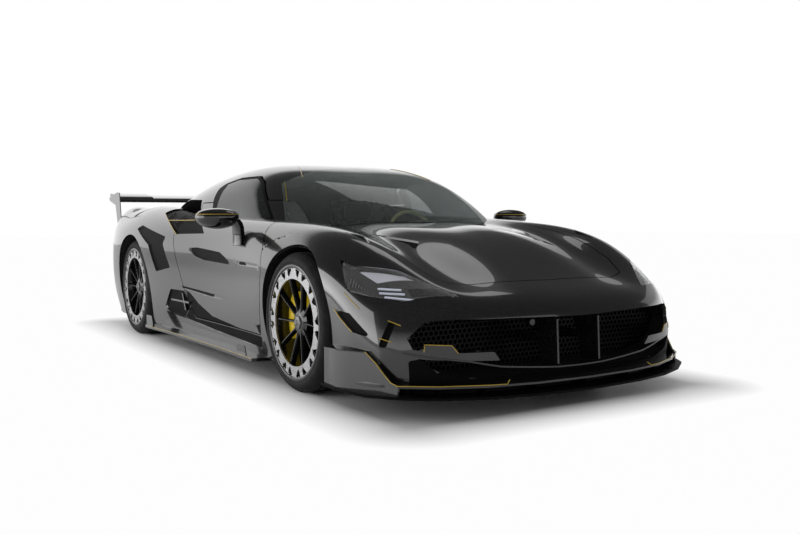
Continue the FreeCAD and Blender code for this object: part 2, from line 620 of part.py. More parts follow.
wheel.rotate(V(), Y, 90 + WHEEL_TILT)
wheel.translate(WHEEL_CENTRE)
nodes["steering_wheel"] = wheel
STUB_END = WHEEL_CENTRE + column * STUB_LENGTH
sleeve_start = STUB_END + column * SLEEVE_GAP
nodes["dashboard"] = joined(dash, rod(sleeve_start, sleeve_start + column * SLEEVE_LENGTH, SLEEVE_RADIUS))

# Wishbones
FRONT_ARM_LEVEL, REAR_ARM_LEVEL = 228, 120   # of the wishbones above and below the axle
UPRIGHT_IN = 126.3           # inner face of the uprights, inboard of the tyre's middle plane
arms = []
for name, side in SIDES:
    for level in (1, -1):
        z = FRONT_TYRE_RADIUS + level * FRONT_ARM_LEVEL
        pivot = V(FRONT_X, side * out(KINGPIN_Y), z)
        root_y, tip_y = out(FRONT_WELL_Y), out(KINGPIN_Y)
        link = Part.makePolygon([V(FRONT_X - 30, side * root_y, z - 5), V(FRONT_X - 16, side * tip_y, z - 5),
                                 V(FRONT_X + 16, side * tip_y, z - 5), V(FRONT_X + 30, side * root_y, z - 5),
                                 V(FRONT_X - 30, side * root_y, z - 5)])
        link = Part.Face(link).extrude(V(0, 0, 10))
        pad = Part.makeCylinder(16, 10, pivot + V(0, 0, -5))
        pin = Part.makeCylinder(8, 28, pivot + V(0, 0, -23 if level > 0 else -5))
        arms.append(joined(link, pad, pin))
        low = V(REAR_X - 20, min(side * out(REAR_WELL_Y), side * (out(REAR_WHEEL_Y) - UPRIGHT_IN)),
                REAR_TYRE_RADIUS + level * REAR_ARM_LEVEL - 10)
        arms.append(Part.makeBox(40, out(REAR_WHEEL_Y) - UPRIGHT_IN - out(REAR_WELL_Y), 20, low))


# Wheels
def tyre(radius, width):
    half = width / 2
    return turned([(BEAD_RADIUS, -half + 14), (RIM_RADIUS + 12, -half), (radius - 30, -half), (radius, -half + 32),
                   (radius, half - 32), (radius - 30, half), (RIM_RADIUS + 12, half), (BEAD_RADIUS, half - 14)], V())


SPOKES = 10
FACE_IN = 5.0                # spoke face below the tyre's side
PAIR_SPREAD = 6.5            # degrees that the two spokes of a pair lean apart


def rim(width):
    half = width / 2
    lip = 14 * (RIM_RADIUS + 12 - RIM_RADIUS) / (RIM_RADIUS + 12 - BEAD_RADIUS)
    barrel = turned([(BEAD_RADIUS, -half + 14), (RIM_RADIUS, -half + lip), (RIM_RADIUS, -half + 1),
                     (RIM_RADIUS - 12, -half + 1), (RIM_RADIUS - 20, -half + 20), (RIM_RADIUS - 22, half - 20),
                     (RIM_RADIUS - 12, half - 1), (RIM_RADIUS, half - 1), (RIM_RADIUS, half - lip),
                     (BEAD_RADIUS, half - 14)], V())
    face = half - FACE_IN
    ring = turned([(RIM_RADIUS - 66, face - 10), (RIM_RADIUS - 66, face), (BEAD_RADIUS, face),
                   (BEAD_RADIUS, face - 10)], V())
    centre = turned([(0, face - 62), (0, face - 18), (38, face - 18), (46, face - 26), (72, face - 34),
                     (72, face - 62)], V())
    far_x = RIM_RADIUS - 21
    far_z = far_x * math.tan(math.radians(PAIR_SPREAD))
    near = Part.makePolygon([V(50, face - 60, 3), V(50, face - 60, 15), V(50, face - 30, 13), V(50, face - 30, 5),
                             V(50, face - 60, 3)])
    far = Part.makePolygon([V(far_x, face - 40, far_z - 7), V(far_x, face - 40, far_z + 7),
                            V(far_x, face - 8, far_z + 5), V(far_x, face - 8, far_z - 5),
                            V(far_x, face - 40, far_z - 7)])
    arm = Part.makeLoft([near, far], True)
    other = arm.mirror(V(), Z)
    window = Part.Face(Part.makePolygon([V(RIM_RADIUS - 58, 0, -13), V(RIM_RADIUS - 58, 0, 13),
                                         V(RIM_RADIUS - 22, 0, 4), V(RIM_RADIUS - 22, 0, -4),
                                         V(RIM_RADIUS - 58, 0, -13)]))
    window = window.extrude(V(0, 40, 0))
    window.translate(V(0, face - 20, 0))
    arms, windows = [], []
    for k in range(SPOKES):
        for source in (arm, other):
            copy = source.copy()
            copy.rotate(V(), Y, 360 * k / SPOKES)
            arms.append(copy)
        for half_step in (0.35, 0.65):
            copy = window.copy()
            copy.rotate(V(), Y, 360 * (k + half_step) / SPOKES)
            windows.append(copy)
    return joined(barrel, ring.cut(Part.makeCompound(windows)), centre, *arms)


DISC_HALF = 16.0             # half of the disc's thickness
BELL_RADIUS = 72.0


def disc(radius, face):
    plate = turned([(BELL_RADIUS - 2, -DISC_HALF), (radius, -DISC_HALF), (radius, DISC_HALF),
                    (BELL_RADIUS - 2, DISC_HALF)], V())
    bell = turned([(0, -DISC_HALF), (BELL_RADIUS, -DISC_HALF), (BELL_RADIUS, face), (0, face)], V())
    return plate.fuse(bell)


FRONT_DISC, REAR_DISC = 199.0, 185.0
DISC_IN = 50.0               # disc's middle inboard of the tyre's middle plane
WHEELS = {
    "front": (FRONT_X, out(FRONT_WHEEL_Y), FRONT_TYRE_RADIUS, FRONT_TYRE_WIDTH, FRONT_DISC),
    "rear": (REAR_X, out(REAR_WHEEL_Y), REAR_TYRE_RADIUS, REAR_TYRE_WIDTH, REAR_DISC),
}


def caliper(disc_radius, x_sign):
    """Straddles the disc's edge on one side of the axle."""
    body = turned([(disc_radius - 62, -42), (disc_radius + 24, -42), (disc_radius + 24, 42),
                   (disc_radius - 62, 42)], V())
    slot = turned([(disc_radius - 70, -19), (disc_radius + 5, -19), (disc_radius + 5, 19),
                   (disc_radius - 70, 19)], V())
    wedge = Part.Face(Part.makePolygon([V(), V(400 * x_sign, 0, 330), V(400 * x_sign, 0, -230), V()]))
    wedge = wedge.extrude(V(0, 200, 0))
    wedge.translate(V(0, -100, 0))
    return body.cut(slot).common(wedge)


for name, side in SIDES:
    for axle, (x, y, radius, width, disc_radius) in WHEELS.items():
        centre = V(x, side * y, radius)
        pieces = {
            "tyre": tyre(radius, width),
            "rim": rim(width),
            "disc": disc(disc_radius, width / 2 - FACE_IN - 62 + DISC_IN),
        }
        pieces["disc"].translate(V(0, -DISC_IN, 0))
        hub_post = Part.makeCylinder(64, 60, V(0, -DISC_IN - 16.3 - 60, 0), Y)
        upright = joined(hub_post, Part.makeBox(96, 40, 300, V(-48, -DISC_IN - 16.3 - 60, -150)))
        brake = caliper(disc_radius, -1 if axle == "front" else 1)
        brake.translate(V(0, -DISC_IN, 0))
        arm = Part.makeBox(disc_radius + 6, 27, 60, V(-disc_radius - 6 if axle == "front" else 0, -DISC_IN - 69, -30))
        upright = joined(upright, arm)
        if axle == "front":
            for level in (1, -1):
                post = Part.makeBox(44, 40, 70, V(-22, -DISC_IN - 76.3, 147 if level > 0 else -217))
                reach = Part.makeBox(28, 104, 12, V(-14, -DISC_IN - 76.3, 205 if level > 0 else -217))
                eye = Part.makeCylinder(18, 12, V(0, KINGPIN_Y - FRONT_WHEEL_Y, 205 if level > 0 else -217))
                hole = Part.makeCylinder(8.3, 40, V(0, KINGPIN_Y - FRONT_WHEEL_Y, 195 if level > 0 else -230))
                upright = joined(upright, post, reach, eye).cut(hole)
        upright = upright.cut(brake)
        pieces["knuckle"] = upright
        pieces["caliper"] = brake
        for kind, shape in pieces.items():
            if side < 0:
                shape = mirrored(shape)
            shape.translate(centre)
            nodes[f"{kind}_{axle}_{name}"] = shape

nodes["suspension"] = Part.makeCompound(arms + [nodes.pop("knuckle_rear_left"), nodes.pop("knuckle_rear_right")])
nodes["rear_calipers"] = Part.makeCompound([nodes.pop("caliper_rear_left"), nodes.pop("caliper_rear_right")])

# Outside pieces
splitter_outline = both([(1092, 0), (1075, 300), (1030, 520), (955, 700), (850, 850), (700, 955), (480, 985),
                         (345, 975), (345, 900), (300, 560), (300, 0)])
lip_outline = both([(1050, 0), (1035, 290), (990, 520), (905, 715), (800, 850), (660, 930), (480, 955), (330, 950),
                    (330, 880), (430, 700), (700, 480), (900, 0)])
SPLITTER_LOW, SPLITTER_TOP = 97, 110
LIP_LOW, LIP_TOP = 138, 150
FENCE_TOP = 190
splitter = plan_prism(splitter_outline, SPLITTER_LOW, SPLITTER_TOP)
lip = plan_prism(lip_outline, LIP_LOW, LIP_TOP).cut(outer)
posts = []
for post_y, post_x in ((0, 990), (280, 975), (520, 925), (700, 860), (850, 750)):
    posts.append(block(post_x - 60, post_x + 40, post_y - 4, post_y + 4, SPLITTER_TOP, LIP_LOW))
fence = plan_prism([(860, 836), (852, 846), (490, 981), (360, 972), (360, 966), (480, 975)], SPLITTER_TOP, FENCE_TOP)
half_posts = posts + [mirrored(post) for post in posts[1:]]
splitter = joined(splitter, lip, *half_posts, fence, mirrored(fence)).cut(Part.makeCompound(arches)).cut(outer)
nodes["splitter"] = splitter

# Rear wing
WING_SPAN = 860.0            # from the middle to an end plate's outer face
END_PLATE = 8.0
section = [(-3395, 1030), (-3400, 1046), (-3440, 1055), (-3520, 1048), (-3680, 1022), (-3682, 1016), (-3560, 1028),
           (-3450, 1032)]
blade = side_prism(section, -WING_SPAN, WING_SPAN)
plate_outline = [(-3330, 760), (-3350, 900), (-3380, 1062), (-3450, 1068), (-3690, 1030), (-3680, 1000),
                 (-3500, 960), (-3440, 800), (-3430, 740)]
plates = []
for name, side in SIDES:
    plates.append(side_prism(plate_outline, side * (WING_SPAN - END_PLATE), side * WING_SPAN))
nodes["rear_wing"] = joined(blade, *plates).cut(outer)

# Diffuser and exhaust
DIFFUSER_HALF = 700
FIN_PLACES = (-520, -310, -105, 105, 310, 520)
diffuser_outline = [(-3050, 96), (-3050, 109), (-3300, 150), (-3610, 250), (-3650, 250), (-3630, 200), (-3300, 110)]
diffuser = side_prism(diffuser_outline, -DIFFUSER_HALF, DIFFUSER_HALF)
fins = [side_prism([(-3200, 97), (-3200, 140), (-3640, 245), (-3660, 150), (-3600, 96)], y - 4, y + 4)
        for y in FIN_PLACES]
wings = [side_prism([(-3040, 97), (-3052, 110), (-3300, 151), (-3610, 252), (-3640, 200), (-3560, 100)], y - 5, y + 5)
         for y in (-703, 703)]
nodes["diffuser"] = joined(diffuser, *fins, *wings)
pipes = []
for side in (1, -1):
    tube = turned([(PIPE_BORE, 0), (PIPE_RADIUS, 0), (PIPE_RADIUS, PIPE_LENGTH), (PIPE_BORE, PIPE_LENGTH)], V())
    tube.rotate(V(), Z, 90)
    tube.translate(place(-3480, side * EXHAUST_Y, EXHAUST_Z))
    pipes.append(tube)
nodes["exhaust_tips"] = Part.makeCompound(pipes)

# Mirrors
MIRROR_HALF = (95, 115, 62)  # half length, width and height of the head
MIRROR_BACK = 50             # flat back of the head, behind its middle
MIRROR_PLACE = (-750, 1040, 870)
for name, side in SIDES:
    head = Part.makeSphere(1)
    matrix = FreeCAD.Matrix()
    matrix.scale(*MIRROR_HALF)
    head = head.transformGeometry(matrix)
    head = head.cut(Part.makeBox(200, 300, 200, V(-MIRROR_BACK - 200, -150, -100)))
    head.translate(place(*MIRROR_PLACE))
    stalk = plan_prism([(-690, 918), (-700, 934), (-760, 946), (-800, 930), (-800, 900), (-760, 880), (-700, 890)],
                       690, 850)
    mirror = joined(head, stalk).cut(outer)
    nodes[f"mirror_{name}"] = mirror if side > 0 else mirrored(mirror)

# Grille behind the front opening
TOW_RADIUS = 8.0             # of the towing eye's thread
TOW_LENGTH = 45.0
TOW_BOSS_RADIUS = 20.0
MESH_X = (700, 715)
mesh_face = front_prism(GRILLE_OUTLINE, *MESH_X, 45)
VANE_OUTLINE = [(975, 408), (800, 408), (870, 190), (985, 200)]
vanes = [side_prism(VANE_OUTLINE, y - 5, y + 5).fuse(block(715, 880, y - 5, y + 5, 280, 330)) for y in (-125, 125)]
TOW_PLACE = (715, -400, 240)
tow_boss = Part.makeCylinder(TOW_BOSS_RADIUS, TOW_LENGTH, place(*TOW_PLACE), X)
tow_hole = Part.makeCylinder(TOW_RADIUS, TOW_LENGTH, place(*TOW_PLACE), X)
nodes["front_grille"] = joined(mesh_face, *vanes).common(inner).fuse(tow_boss).cut(tow_hole)

# Crumbs that the cuts leave are dropped
CRUMB = 2e3
LARGE_CRUMB = 1e5
for name, shape in nodes.items():
    least = LARGE_CRUMB if name in ("rear_quarters", "engine_cover", "roof") else CRUMB
    solids = [s for s in shape.Solids if s.Volume > least]
    nodes[name] = solids[0] if len(solids) == 1 else Part.makeCompound(solids)

os.makedirs("parts", exist_ok=True)
for name, shape in nodes.items():
    shape.exportStep(f"parts/{name}.step")
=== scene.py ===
"""Looks of the supercar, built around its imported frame. All lengths are in metres, in the frame's axes."""

import math

import bpy
import bmesh
import numpy as np
from bpy.props import FloatProperty, FloatVectorProperty, PointerProperty
from mathutils import Matrix, Vector


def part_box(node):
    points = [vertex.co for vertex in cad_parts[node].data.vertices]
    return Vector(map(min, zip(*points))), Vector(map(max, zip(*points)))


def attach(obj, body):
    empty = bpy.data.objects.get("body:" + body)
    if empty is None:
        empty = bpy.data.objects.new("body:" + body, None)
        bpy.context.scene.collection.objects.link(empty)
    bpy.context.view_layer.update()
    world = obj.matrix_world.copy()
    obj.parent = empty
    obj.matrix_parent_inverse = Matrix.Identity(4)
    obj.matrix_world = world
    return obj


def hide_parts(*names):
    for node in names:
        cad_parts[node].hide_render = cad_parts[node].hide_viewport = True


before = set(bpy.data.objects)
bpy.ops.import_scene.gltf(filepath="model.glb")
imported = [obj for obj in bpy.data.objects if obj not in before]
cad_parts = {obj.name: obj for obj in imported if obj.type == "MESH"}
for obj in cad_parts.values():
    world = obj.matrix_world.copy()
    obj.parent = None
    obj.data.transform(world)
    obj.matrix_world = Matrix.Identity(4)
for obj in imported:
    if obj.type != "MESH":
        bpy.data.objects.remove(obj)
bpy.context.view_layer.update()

bl_info = {
    "name": "Supercar looks",
    "version": (1, 0, 0),
    "blender": (4, 5, 0),
    "location": "3D View > Sidebar > Car",
    "description": "Dresses the packed frame of a mid-engined supercar",
    "category": "Object",
}


def middle(node):
    low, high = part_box(node)
    return (low + high) / 2


FRONT_HUB, REAR_HUB = middle("tyre_front_left"), middle("tyre_rear_left")
AXLE = FRONT_HUB.x
SIDES = (("left", 1), ("right", -1))

# The car's two skins, in millimetres from the front axle, as the panels' source has them
FLOOR = 110
BODY_OFFSETS = [
    ([-3560, -3560, -3550, -3510, -3460, -3410, -3350, -3270], [0, 300, 530, 690, 780, 830, 860, 880],
     [FLOOR] * 8),
    ([-3610, -3610, -3600, -3560, -3500, -3430, -3360, -3270], [0, 300, 550, 730, 820, 870, 885, 885],
     [580, 580, 580, 560, 500, 400, 250, FLOOR]),
    ([-3630, -3630, -3610, -3570, -3500, -3430, -3360, -3250], [0, 300, 550, 740, 850, 900, 905, 885],
     [890, 890, 885, 870, 740, 520, 300, FLOOR]),
    ([-3180] * 8, [0, 300, 550, 770, 925, 955, 935, 900], [900, 900, 900, 925, 790, 550, 300, FLOOR]),
    ([-2650] * 8, [0, 300, 550, 780, 960, 983, 960, 910], [880, 880, 890, 935, 790, 550, 300, FLOOR]),
    ([-2100] * 8, [0, 300, 550, 780, 945, 965, 940, 905], [850, 850, 860, 905, 770, 520, 280, FLOOR]),
    ([-1400] * 8, [0, 300, 550, 790, 905, 915, 905, 890], [830, 830, 835, 865, 730, 500, 270, FLOOR]),
    ([-700] * 8, [0, 300, 550, 790, 905, 920, 905, 890], [830, 830, 825, 845, 720, 480, 270, FLOOR]),
    ([-50] * 8, [0, 300, 550, 770, 935, 957, 930, 900], [805, 800, 780, 810, 690, 470, 260, FLOOR]),
    ([420, 420, 410, 400, 385, 370, 355, 340], [0, 300, 540, 750, 920, 945, 930, 900],
     [695, 690, 675, 715, 610, 430, 240, FLOOR]),
    ([800, 790, 760, 700, 630, 580, 540, 480], [0, 290, 530, 730, 870, 920, 920, 900],
     [550, 548, 545, 560, 480, 360, 220, FLOOR]),
    ([1000, 985, 940, 850, 760, 690, 620, 530], [0, 280, 520, 710, 820, 880, 900, 900],
     [440, 440, 437, 420, 370, 290, 190, FLOOR]),
    ([1010, 995, 950, 870, 790, 710, 630, 545], [0, 280, 520, 710, 810, 865, 890, 898],
     [270, 270, 270, 265, 240, 200, 150, FLOOR]),
    ([980, 965, 930, 860, 785, 715, 640, 575], [0, 280, 520, 700, 795, 848, 878, 892], [FLOOR] * 8),
]
CABIN_SEAT = 700
CABIN_OFFSETS = [
    (-150, CABIN_SEAT, -460, 790, CABIN_SEAT, 2.4, 1.7),
    (-480, 950, -660, 785, 780, 3.2, 2.0),
    (-800, 1100, -900, 780, 800, 3.9, 2.2),
    (-1140, 1180, -1180, 765, 810, 4.2, 2.3),
    (-1550, 1190, -1550, 755, 820, 4.2, 2.3),
    (-2020, 1135, -2020, 735, 840, 4.0, 2.3),
    (-2500, 1035, -2500, 680, 860, 3.6, 2.2),
    (-3000, 945, -3000, 635, 800, 3.2, 2.0),
    (-3360, 885, -3340, 600, 760, 3.0, 1.9),
    (-3560, CABIN_SEAT, -3470, 560, CABIN_SEAT, 2.4, 1.8),
]
ARCH_SHARES = [0, 0.3, 0.58, 0.78, 0.91, 0.98, 1.0]
CABIN_CORNERS = ((-530, 797), (-3420, 585))

# Outlines that more than one piece uses, in millimetres from the front axle
COVER_OUTLINE = [(-2060, 0), (-2060, 545), (-2220, 545), (-2600, 505), (-3000, 470), (-3250, 440), (-3250, 0)]
GRILLE_OUTLINE = [(0, 416), (390, 424), (640, 424), (735, 415), (800, 345), (775, 268), (700, 200),
                  (560, 168), (0, 160)]
LAMP_FACING = (0.5, 0.52, 0.69)
SLOT_OUTLINES = (
    [(420, 944, 446), (531, 928, 436), (642, 898, 353), (630, 904, 343), (551, 927, 356), (461, 940, 414)],
    [(688, 881, 302), (716, 840, 414), (742, 822, 409), (722, 860, 302)],
)
FLAP_OUTLINE = [(785, 812, 305), (829, 769, 296), (844, 749, 292), (845, 746, 321), (904, 649, 317),
                (914, 624, 284), (961, 470, 284), (966, 441, 245), (929, 579, 250), (848, 744, 258),
                (786, 812, 270)]
SLOT_FACING = (0.5, 0.86, 0)
BUMPER_SEAM, REAR_SEAM = 272, -3120


# Smooth surfaces through the tables
def basis(knots, count, places):
    """Cubic B-spline basis at each place, one row a place."""
    places = np.atleast_1d(places)
    table = np.zeros((len(places), len(knots) - 1))
    for i in range(len(knots) - 1):
        table[:, i] = (places >= knots[i]) & (places < knots[i + 1])
    last = max(i for i in range(len(knots) - 1) if knots[i] < knots[i + 1])
    table[places >= knots[-1], last] = 1
    for k in range(1, 4):
        raised = np.zeros_like(table)
        for i in range(len(knots) - 1 - k):
            left, right = knots[i + k] - knots[i], knots[i + k + 1] - knots[i + 1]
            if left > 0:
                raised[:, i] += (places - knots[i]) / left * table[:, i]
            if right > 0:
                raised[:, i] += (knots[i + k + 1] - places) / right * table[:, i + 1]
        table = raised
    return table[:, :count]


def spacing(net):
    steps = np.linalg.norm(np.diff(net, axis=0), axis=2) ** 0.5
    totals = steps.sum(0)
    used = totals > 1e-6
    values = np.concatenate([[0], np.cumsum((steps[:, used] / totals[used]).mean(1))])
    values[-1] = 1
    return values


def knots_for(values):
    inner = [values[j:j + 3].mean() for j in range(1, len(values) - 3)]
    return np.array([0] * 4 + inner + [1] * 4, float)


class Skin:
    """The smooth surface through a net of points, which is mirrored about the car's middle."""

    def __init__(self, half):
        half = np.array(half, float) / 1000 + np.array([AXLE, 0, 0])
        net = np.concatenate([half[:, :0:-1] * np.array([1, -1, 1]), half], axis=1)
        us, vs = spacing(net), spacing(net.transpose(1, 0, 2))
        self.u_knots, self.v_knots = knots_for(us), knots_for(vs)
        self.shape = len(us), len(vs)
        along = np.linalg.inv(basis(self.u_knots, len(us), us))
        across = np.linalg.inv(basis(self.v_knots, len(vs), vs))
        self.poles = np.einsum("ai,bj,ijk->abk", along, across, net)
        self.turn = 1
        if self.normal(np.array([[0.5, 0.5]]))[0, 2] < 0:
            self.turn = -1

    def at(self, uv):
        a = basis(self.u_knots, self.shape[0], uv[:, 0])
        b = basis(self.v_knots, self.shape[1], uv[:, 1])
        return np.einsum("njk,nj->nk", np.tensordot(a, self.poles, (1, 0)), b)

    def grid(self, us, vs):
        a, b = basis(self.u_knots, self.shape[0], us), basis(self.v_knots, self.shape[1], vs)
        return np.einsum("ai,bj,ijk->abk", a, b, self.poles, optimize=True)

    def normal(self, uv):
        step = 1e-4
        u0, u1 = np.clip(uv[:, 0] - step, 0, 1), np.clip(uv[:, 0] + step, 0, 1)
        v0, v1 = np.clip(uv[:, 1] - step, 0, 1), np.clip(uv[:, 1] + step, 0, 1)
        du = self.at(np.stack([u1, uv[:, 1]], 1)) - self.at(np.stack([u0, uv[:, 1]], 1))
        dv = self.at(np.stack([uv[:, 0], v1], 1)) - self.at(np.stack([uv[:, 0], v0], 1))
        n = np.cross(du, dv) * self.turn
        return n / (np.linalg.norm(n, axis=1, keepdims=True) + 1e-15)


def cabin_half():
    half = []
    for x_mid, z_mid, x_belt, y_belt, z_belt, m, n in CABIN_OFFSETS:
        row = [(x_mid + (x_belt - x_mid) * s * s, y_belt * s,
                z_belt + (z_mid - z_belt) * (1 - s ** m) ** (1 / n))
               for s in ARCH_SHARES]
        half.append(row + [(x_belt, y_belt + 4, CABIN_SEAT)])
    for row, (x, y) in zip((half[0], half[-1]), CABIN_CORNERS):
        row[-1] = (x, y, CABIN_SEAT)
    return half


BODY = Skin([list(zip(*station)) for station in BODY_OFFSETS])
CABIN = Skin(cabin_half())


class Heights:
    """Height of a skin over a level grid, far below where the skin isn't."""

    CELL = 0.01
    NOTHING = -9.0

    def __init__(self, skin):
        p = skin.grid(np.linspace(0, 1, 1200), np.linspace(0, 1, 900)).reshape(-1, 3)
        self.low = p[:, :2].min(0) - 2 * self.CELL
        size = ((p[:, :2].max(0) - self.low) / self.CELL).astype(int) + 3
        self.map = np.full(size, self.NOTHING)
        cells = ((p[:, :2] - self.low) / self.CELL).round().astype(int)
        np.maximum.at(self.map, (cells[:, 0], cells[:, 1]), p[:, 2])

    def over(self, p):
        place = (p[:, :2] - self.low) / self.CELL
        cell = np.clip(np.floor(place).astype(int), 0, np.array(self.map.shape) - 2)
        share = np.clip(place - cell, 0, 1)
        i, j = cell[:, 0], cell[:, 1]
        low = self.map[i, j] * (1 - share[:, 0]) + self.map[i + 1, j] * share[:, 0]
        high = self.map[i, j + 1] * (1 - share[:, 0]) + self.map[i + 1, j + 1] * share[:, 0]
        return low * (1 - share[:, 1]) + high * share[:, 1]


BODY_HEIGHTS, CABIN_HEIGHTS = Heights(BODY), Heights(CABIN)
TUCK = 0.012                 # how far a panel runs on under the other skin


# Fields: a number at every point, below zero inside
def outline_field(points, outline):
    """Signed distance from a closed outline, in the plane of the points."""
    a = np.array(outline, float)
    b = np.roll(a, -1, axis=0)
    far = np.full(len(points), np.inf)
    within = np.zeros(len(points), bool)
    for p, q in zip(a, b):
        run = q - p
        if not run.any():
            continue
        t = np.clip((points - p) @ run / (run @ run), 0, 1)
        far = np.minimum(far, np.linalg.norm(points - p - t[:, None] * run, axis=1))
        crosses = (p[1] > points[:, 1]) != (q[1] > points[:, 1])
        with np.errstate(divide="ignore", invalid="ignore"):
            x = p[0] + (points[:, 1] - p[1]) * (q[0] - p[0]) / (q[1] - p[1])
        within ^= crosses & (points[:, 0] < x)
    return np.where(within, -far, far)


def mm_outline(outline, shift=(0, 0)):
    return [(a / 1000 + shift[0], b / 1000 + shift[1]) for a, b in outline]


def side_field(outline, least_y=0.45):
    """From an outline of (along, up), on both sides of the car."""
    outline = mm_outline(outline, (AXLE, 0))

    def field(p):
        return np.maximum(outline_field(p[:, [0, 2]], outline), least_y - np.abs(p[:, 1]))
    return field


def plan_field(half, least_z=0.0):
    """From the left half of an outline of (along, out)."""
    outline = mm_outline(half, (AXLE, 0))
    if abs(half[0][1]) < 1 and abs(half[-1][1]) < 1:
        outline += [(x, -y) for x, y in outline[-2:0:-1]]

    def field(p):
        flat = p[:, :2] if outline[0][1] == 0 else np.stack([p[:, 0], np.abs(p[:, 1])], 1)
        return np.maximum(outline_field(flat, outline), least_z - p[:, 2])
    return field


def front_field(half, x_from, x_to):
    """From the left half of an outline of (out, up), between two places along the car."""
    outline = mm_outline(half)
    outline += [(-y, z) for y, z in outline[-2:0:-1]]

    def field(p):
        f = outline_field(p[:, 1:], outline)
        return np.maximum(f, np.maximum(x_from / 1000 + AXLE - p[:, 0], p[:, 0] - x_to / 1000 - AXLE))
    return field


def facing_axes(facing):
    n = np.array(facing, float)
    n /= np.linalg.norm(n)
    right = np.cross([0, 0, 1], n)
    right /= np.linalg.norm(right)
    return right, np.cross(n, right), n


def facing_field(outline, facing, reach=0.12):
    """From an outline of points on the skin, seen in a slanted direction, on both sides of the car."""
    right, rise, n = facing_axes(facing)
    corners = np.array(outline, float) / 1000 + np.array([AXLE, 0, 0])
    flat = np.stack([corners @ right, corners @ rise], 1)
    depth = corners @ n

    def field(p):
        q = p * np.array([1, 1, 1])
        q[:, 1] = np.abs(q[:, 1])
        f = outline_field(np.stack([q @ right, q @ rise], 1), flat)
        return np.maximum(f, np.maximum(depth.min() - reach - q @ n, q @ n - depth.max() - reach))
    return field


def outside(field, gap=0.0):
    return lambda p: gap - field(p)


def inside(field, gap=0.0):
    return lambda p: field(p) + gap


def above(heights):
    return lambda p: heights.over(p) - TUCK - p[:, 2]


ARCH_RADII = {"front": 0.39, "rear": 0.396}
ARCH_DROP = 0.01


def outside_arches(p):
    gaps = []
    for hub, radius in ((FRONT_HUB, ARCH_RADII["front"]), (REAR_HUB, ARCH_RADII["rear"])):
        away = np.hypot(p[:, 0] - hub.x, p[:, 2] - hub.z + ARCH_DROP)
        gaps.append(np.where(np.abs(p[:, 1]) > 0.5, radius - away, -1.0))
    return np.maximum(*gaps)


# Panels cut from a skin
SNAP = 2e-4                  # a place this near to a field's edge counts as on it
NEAR = 0.02                  # coarse places this near to a field are looked at
COARSE_ROWS, COARSE_COLUMNS = 320, 260


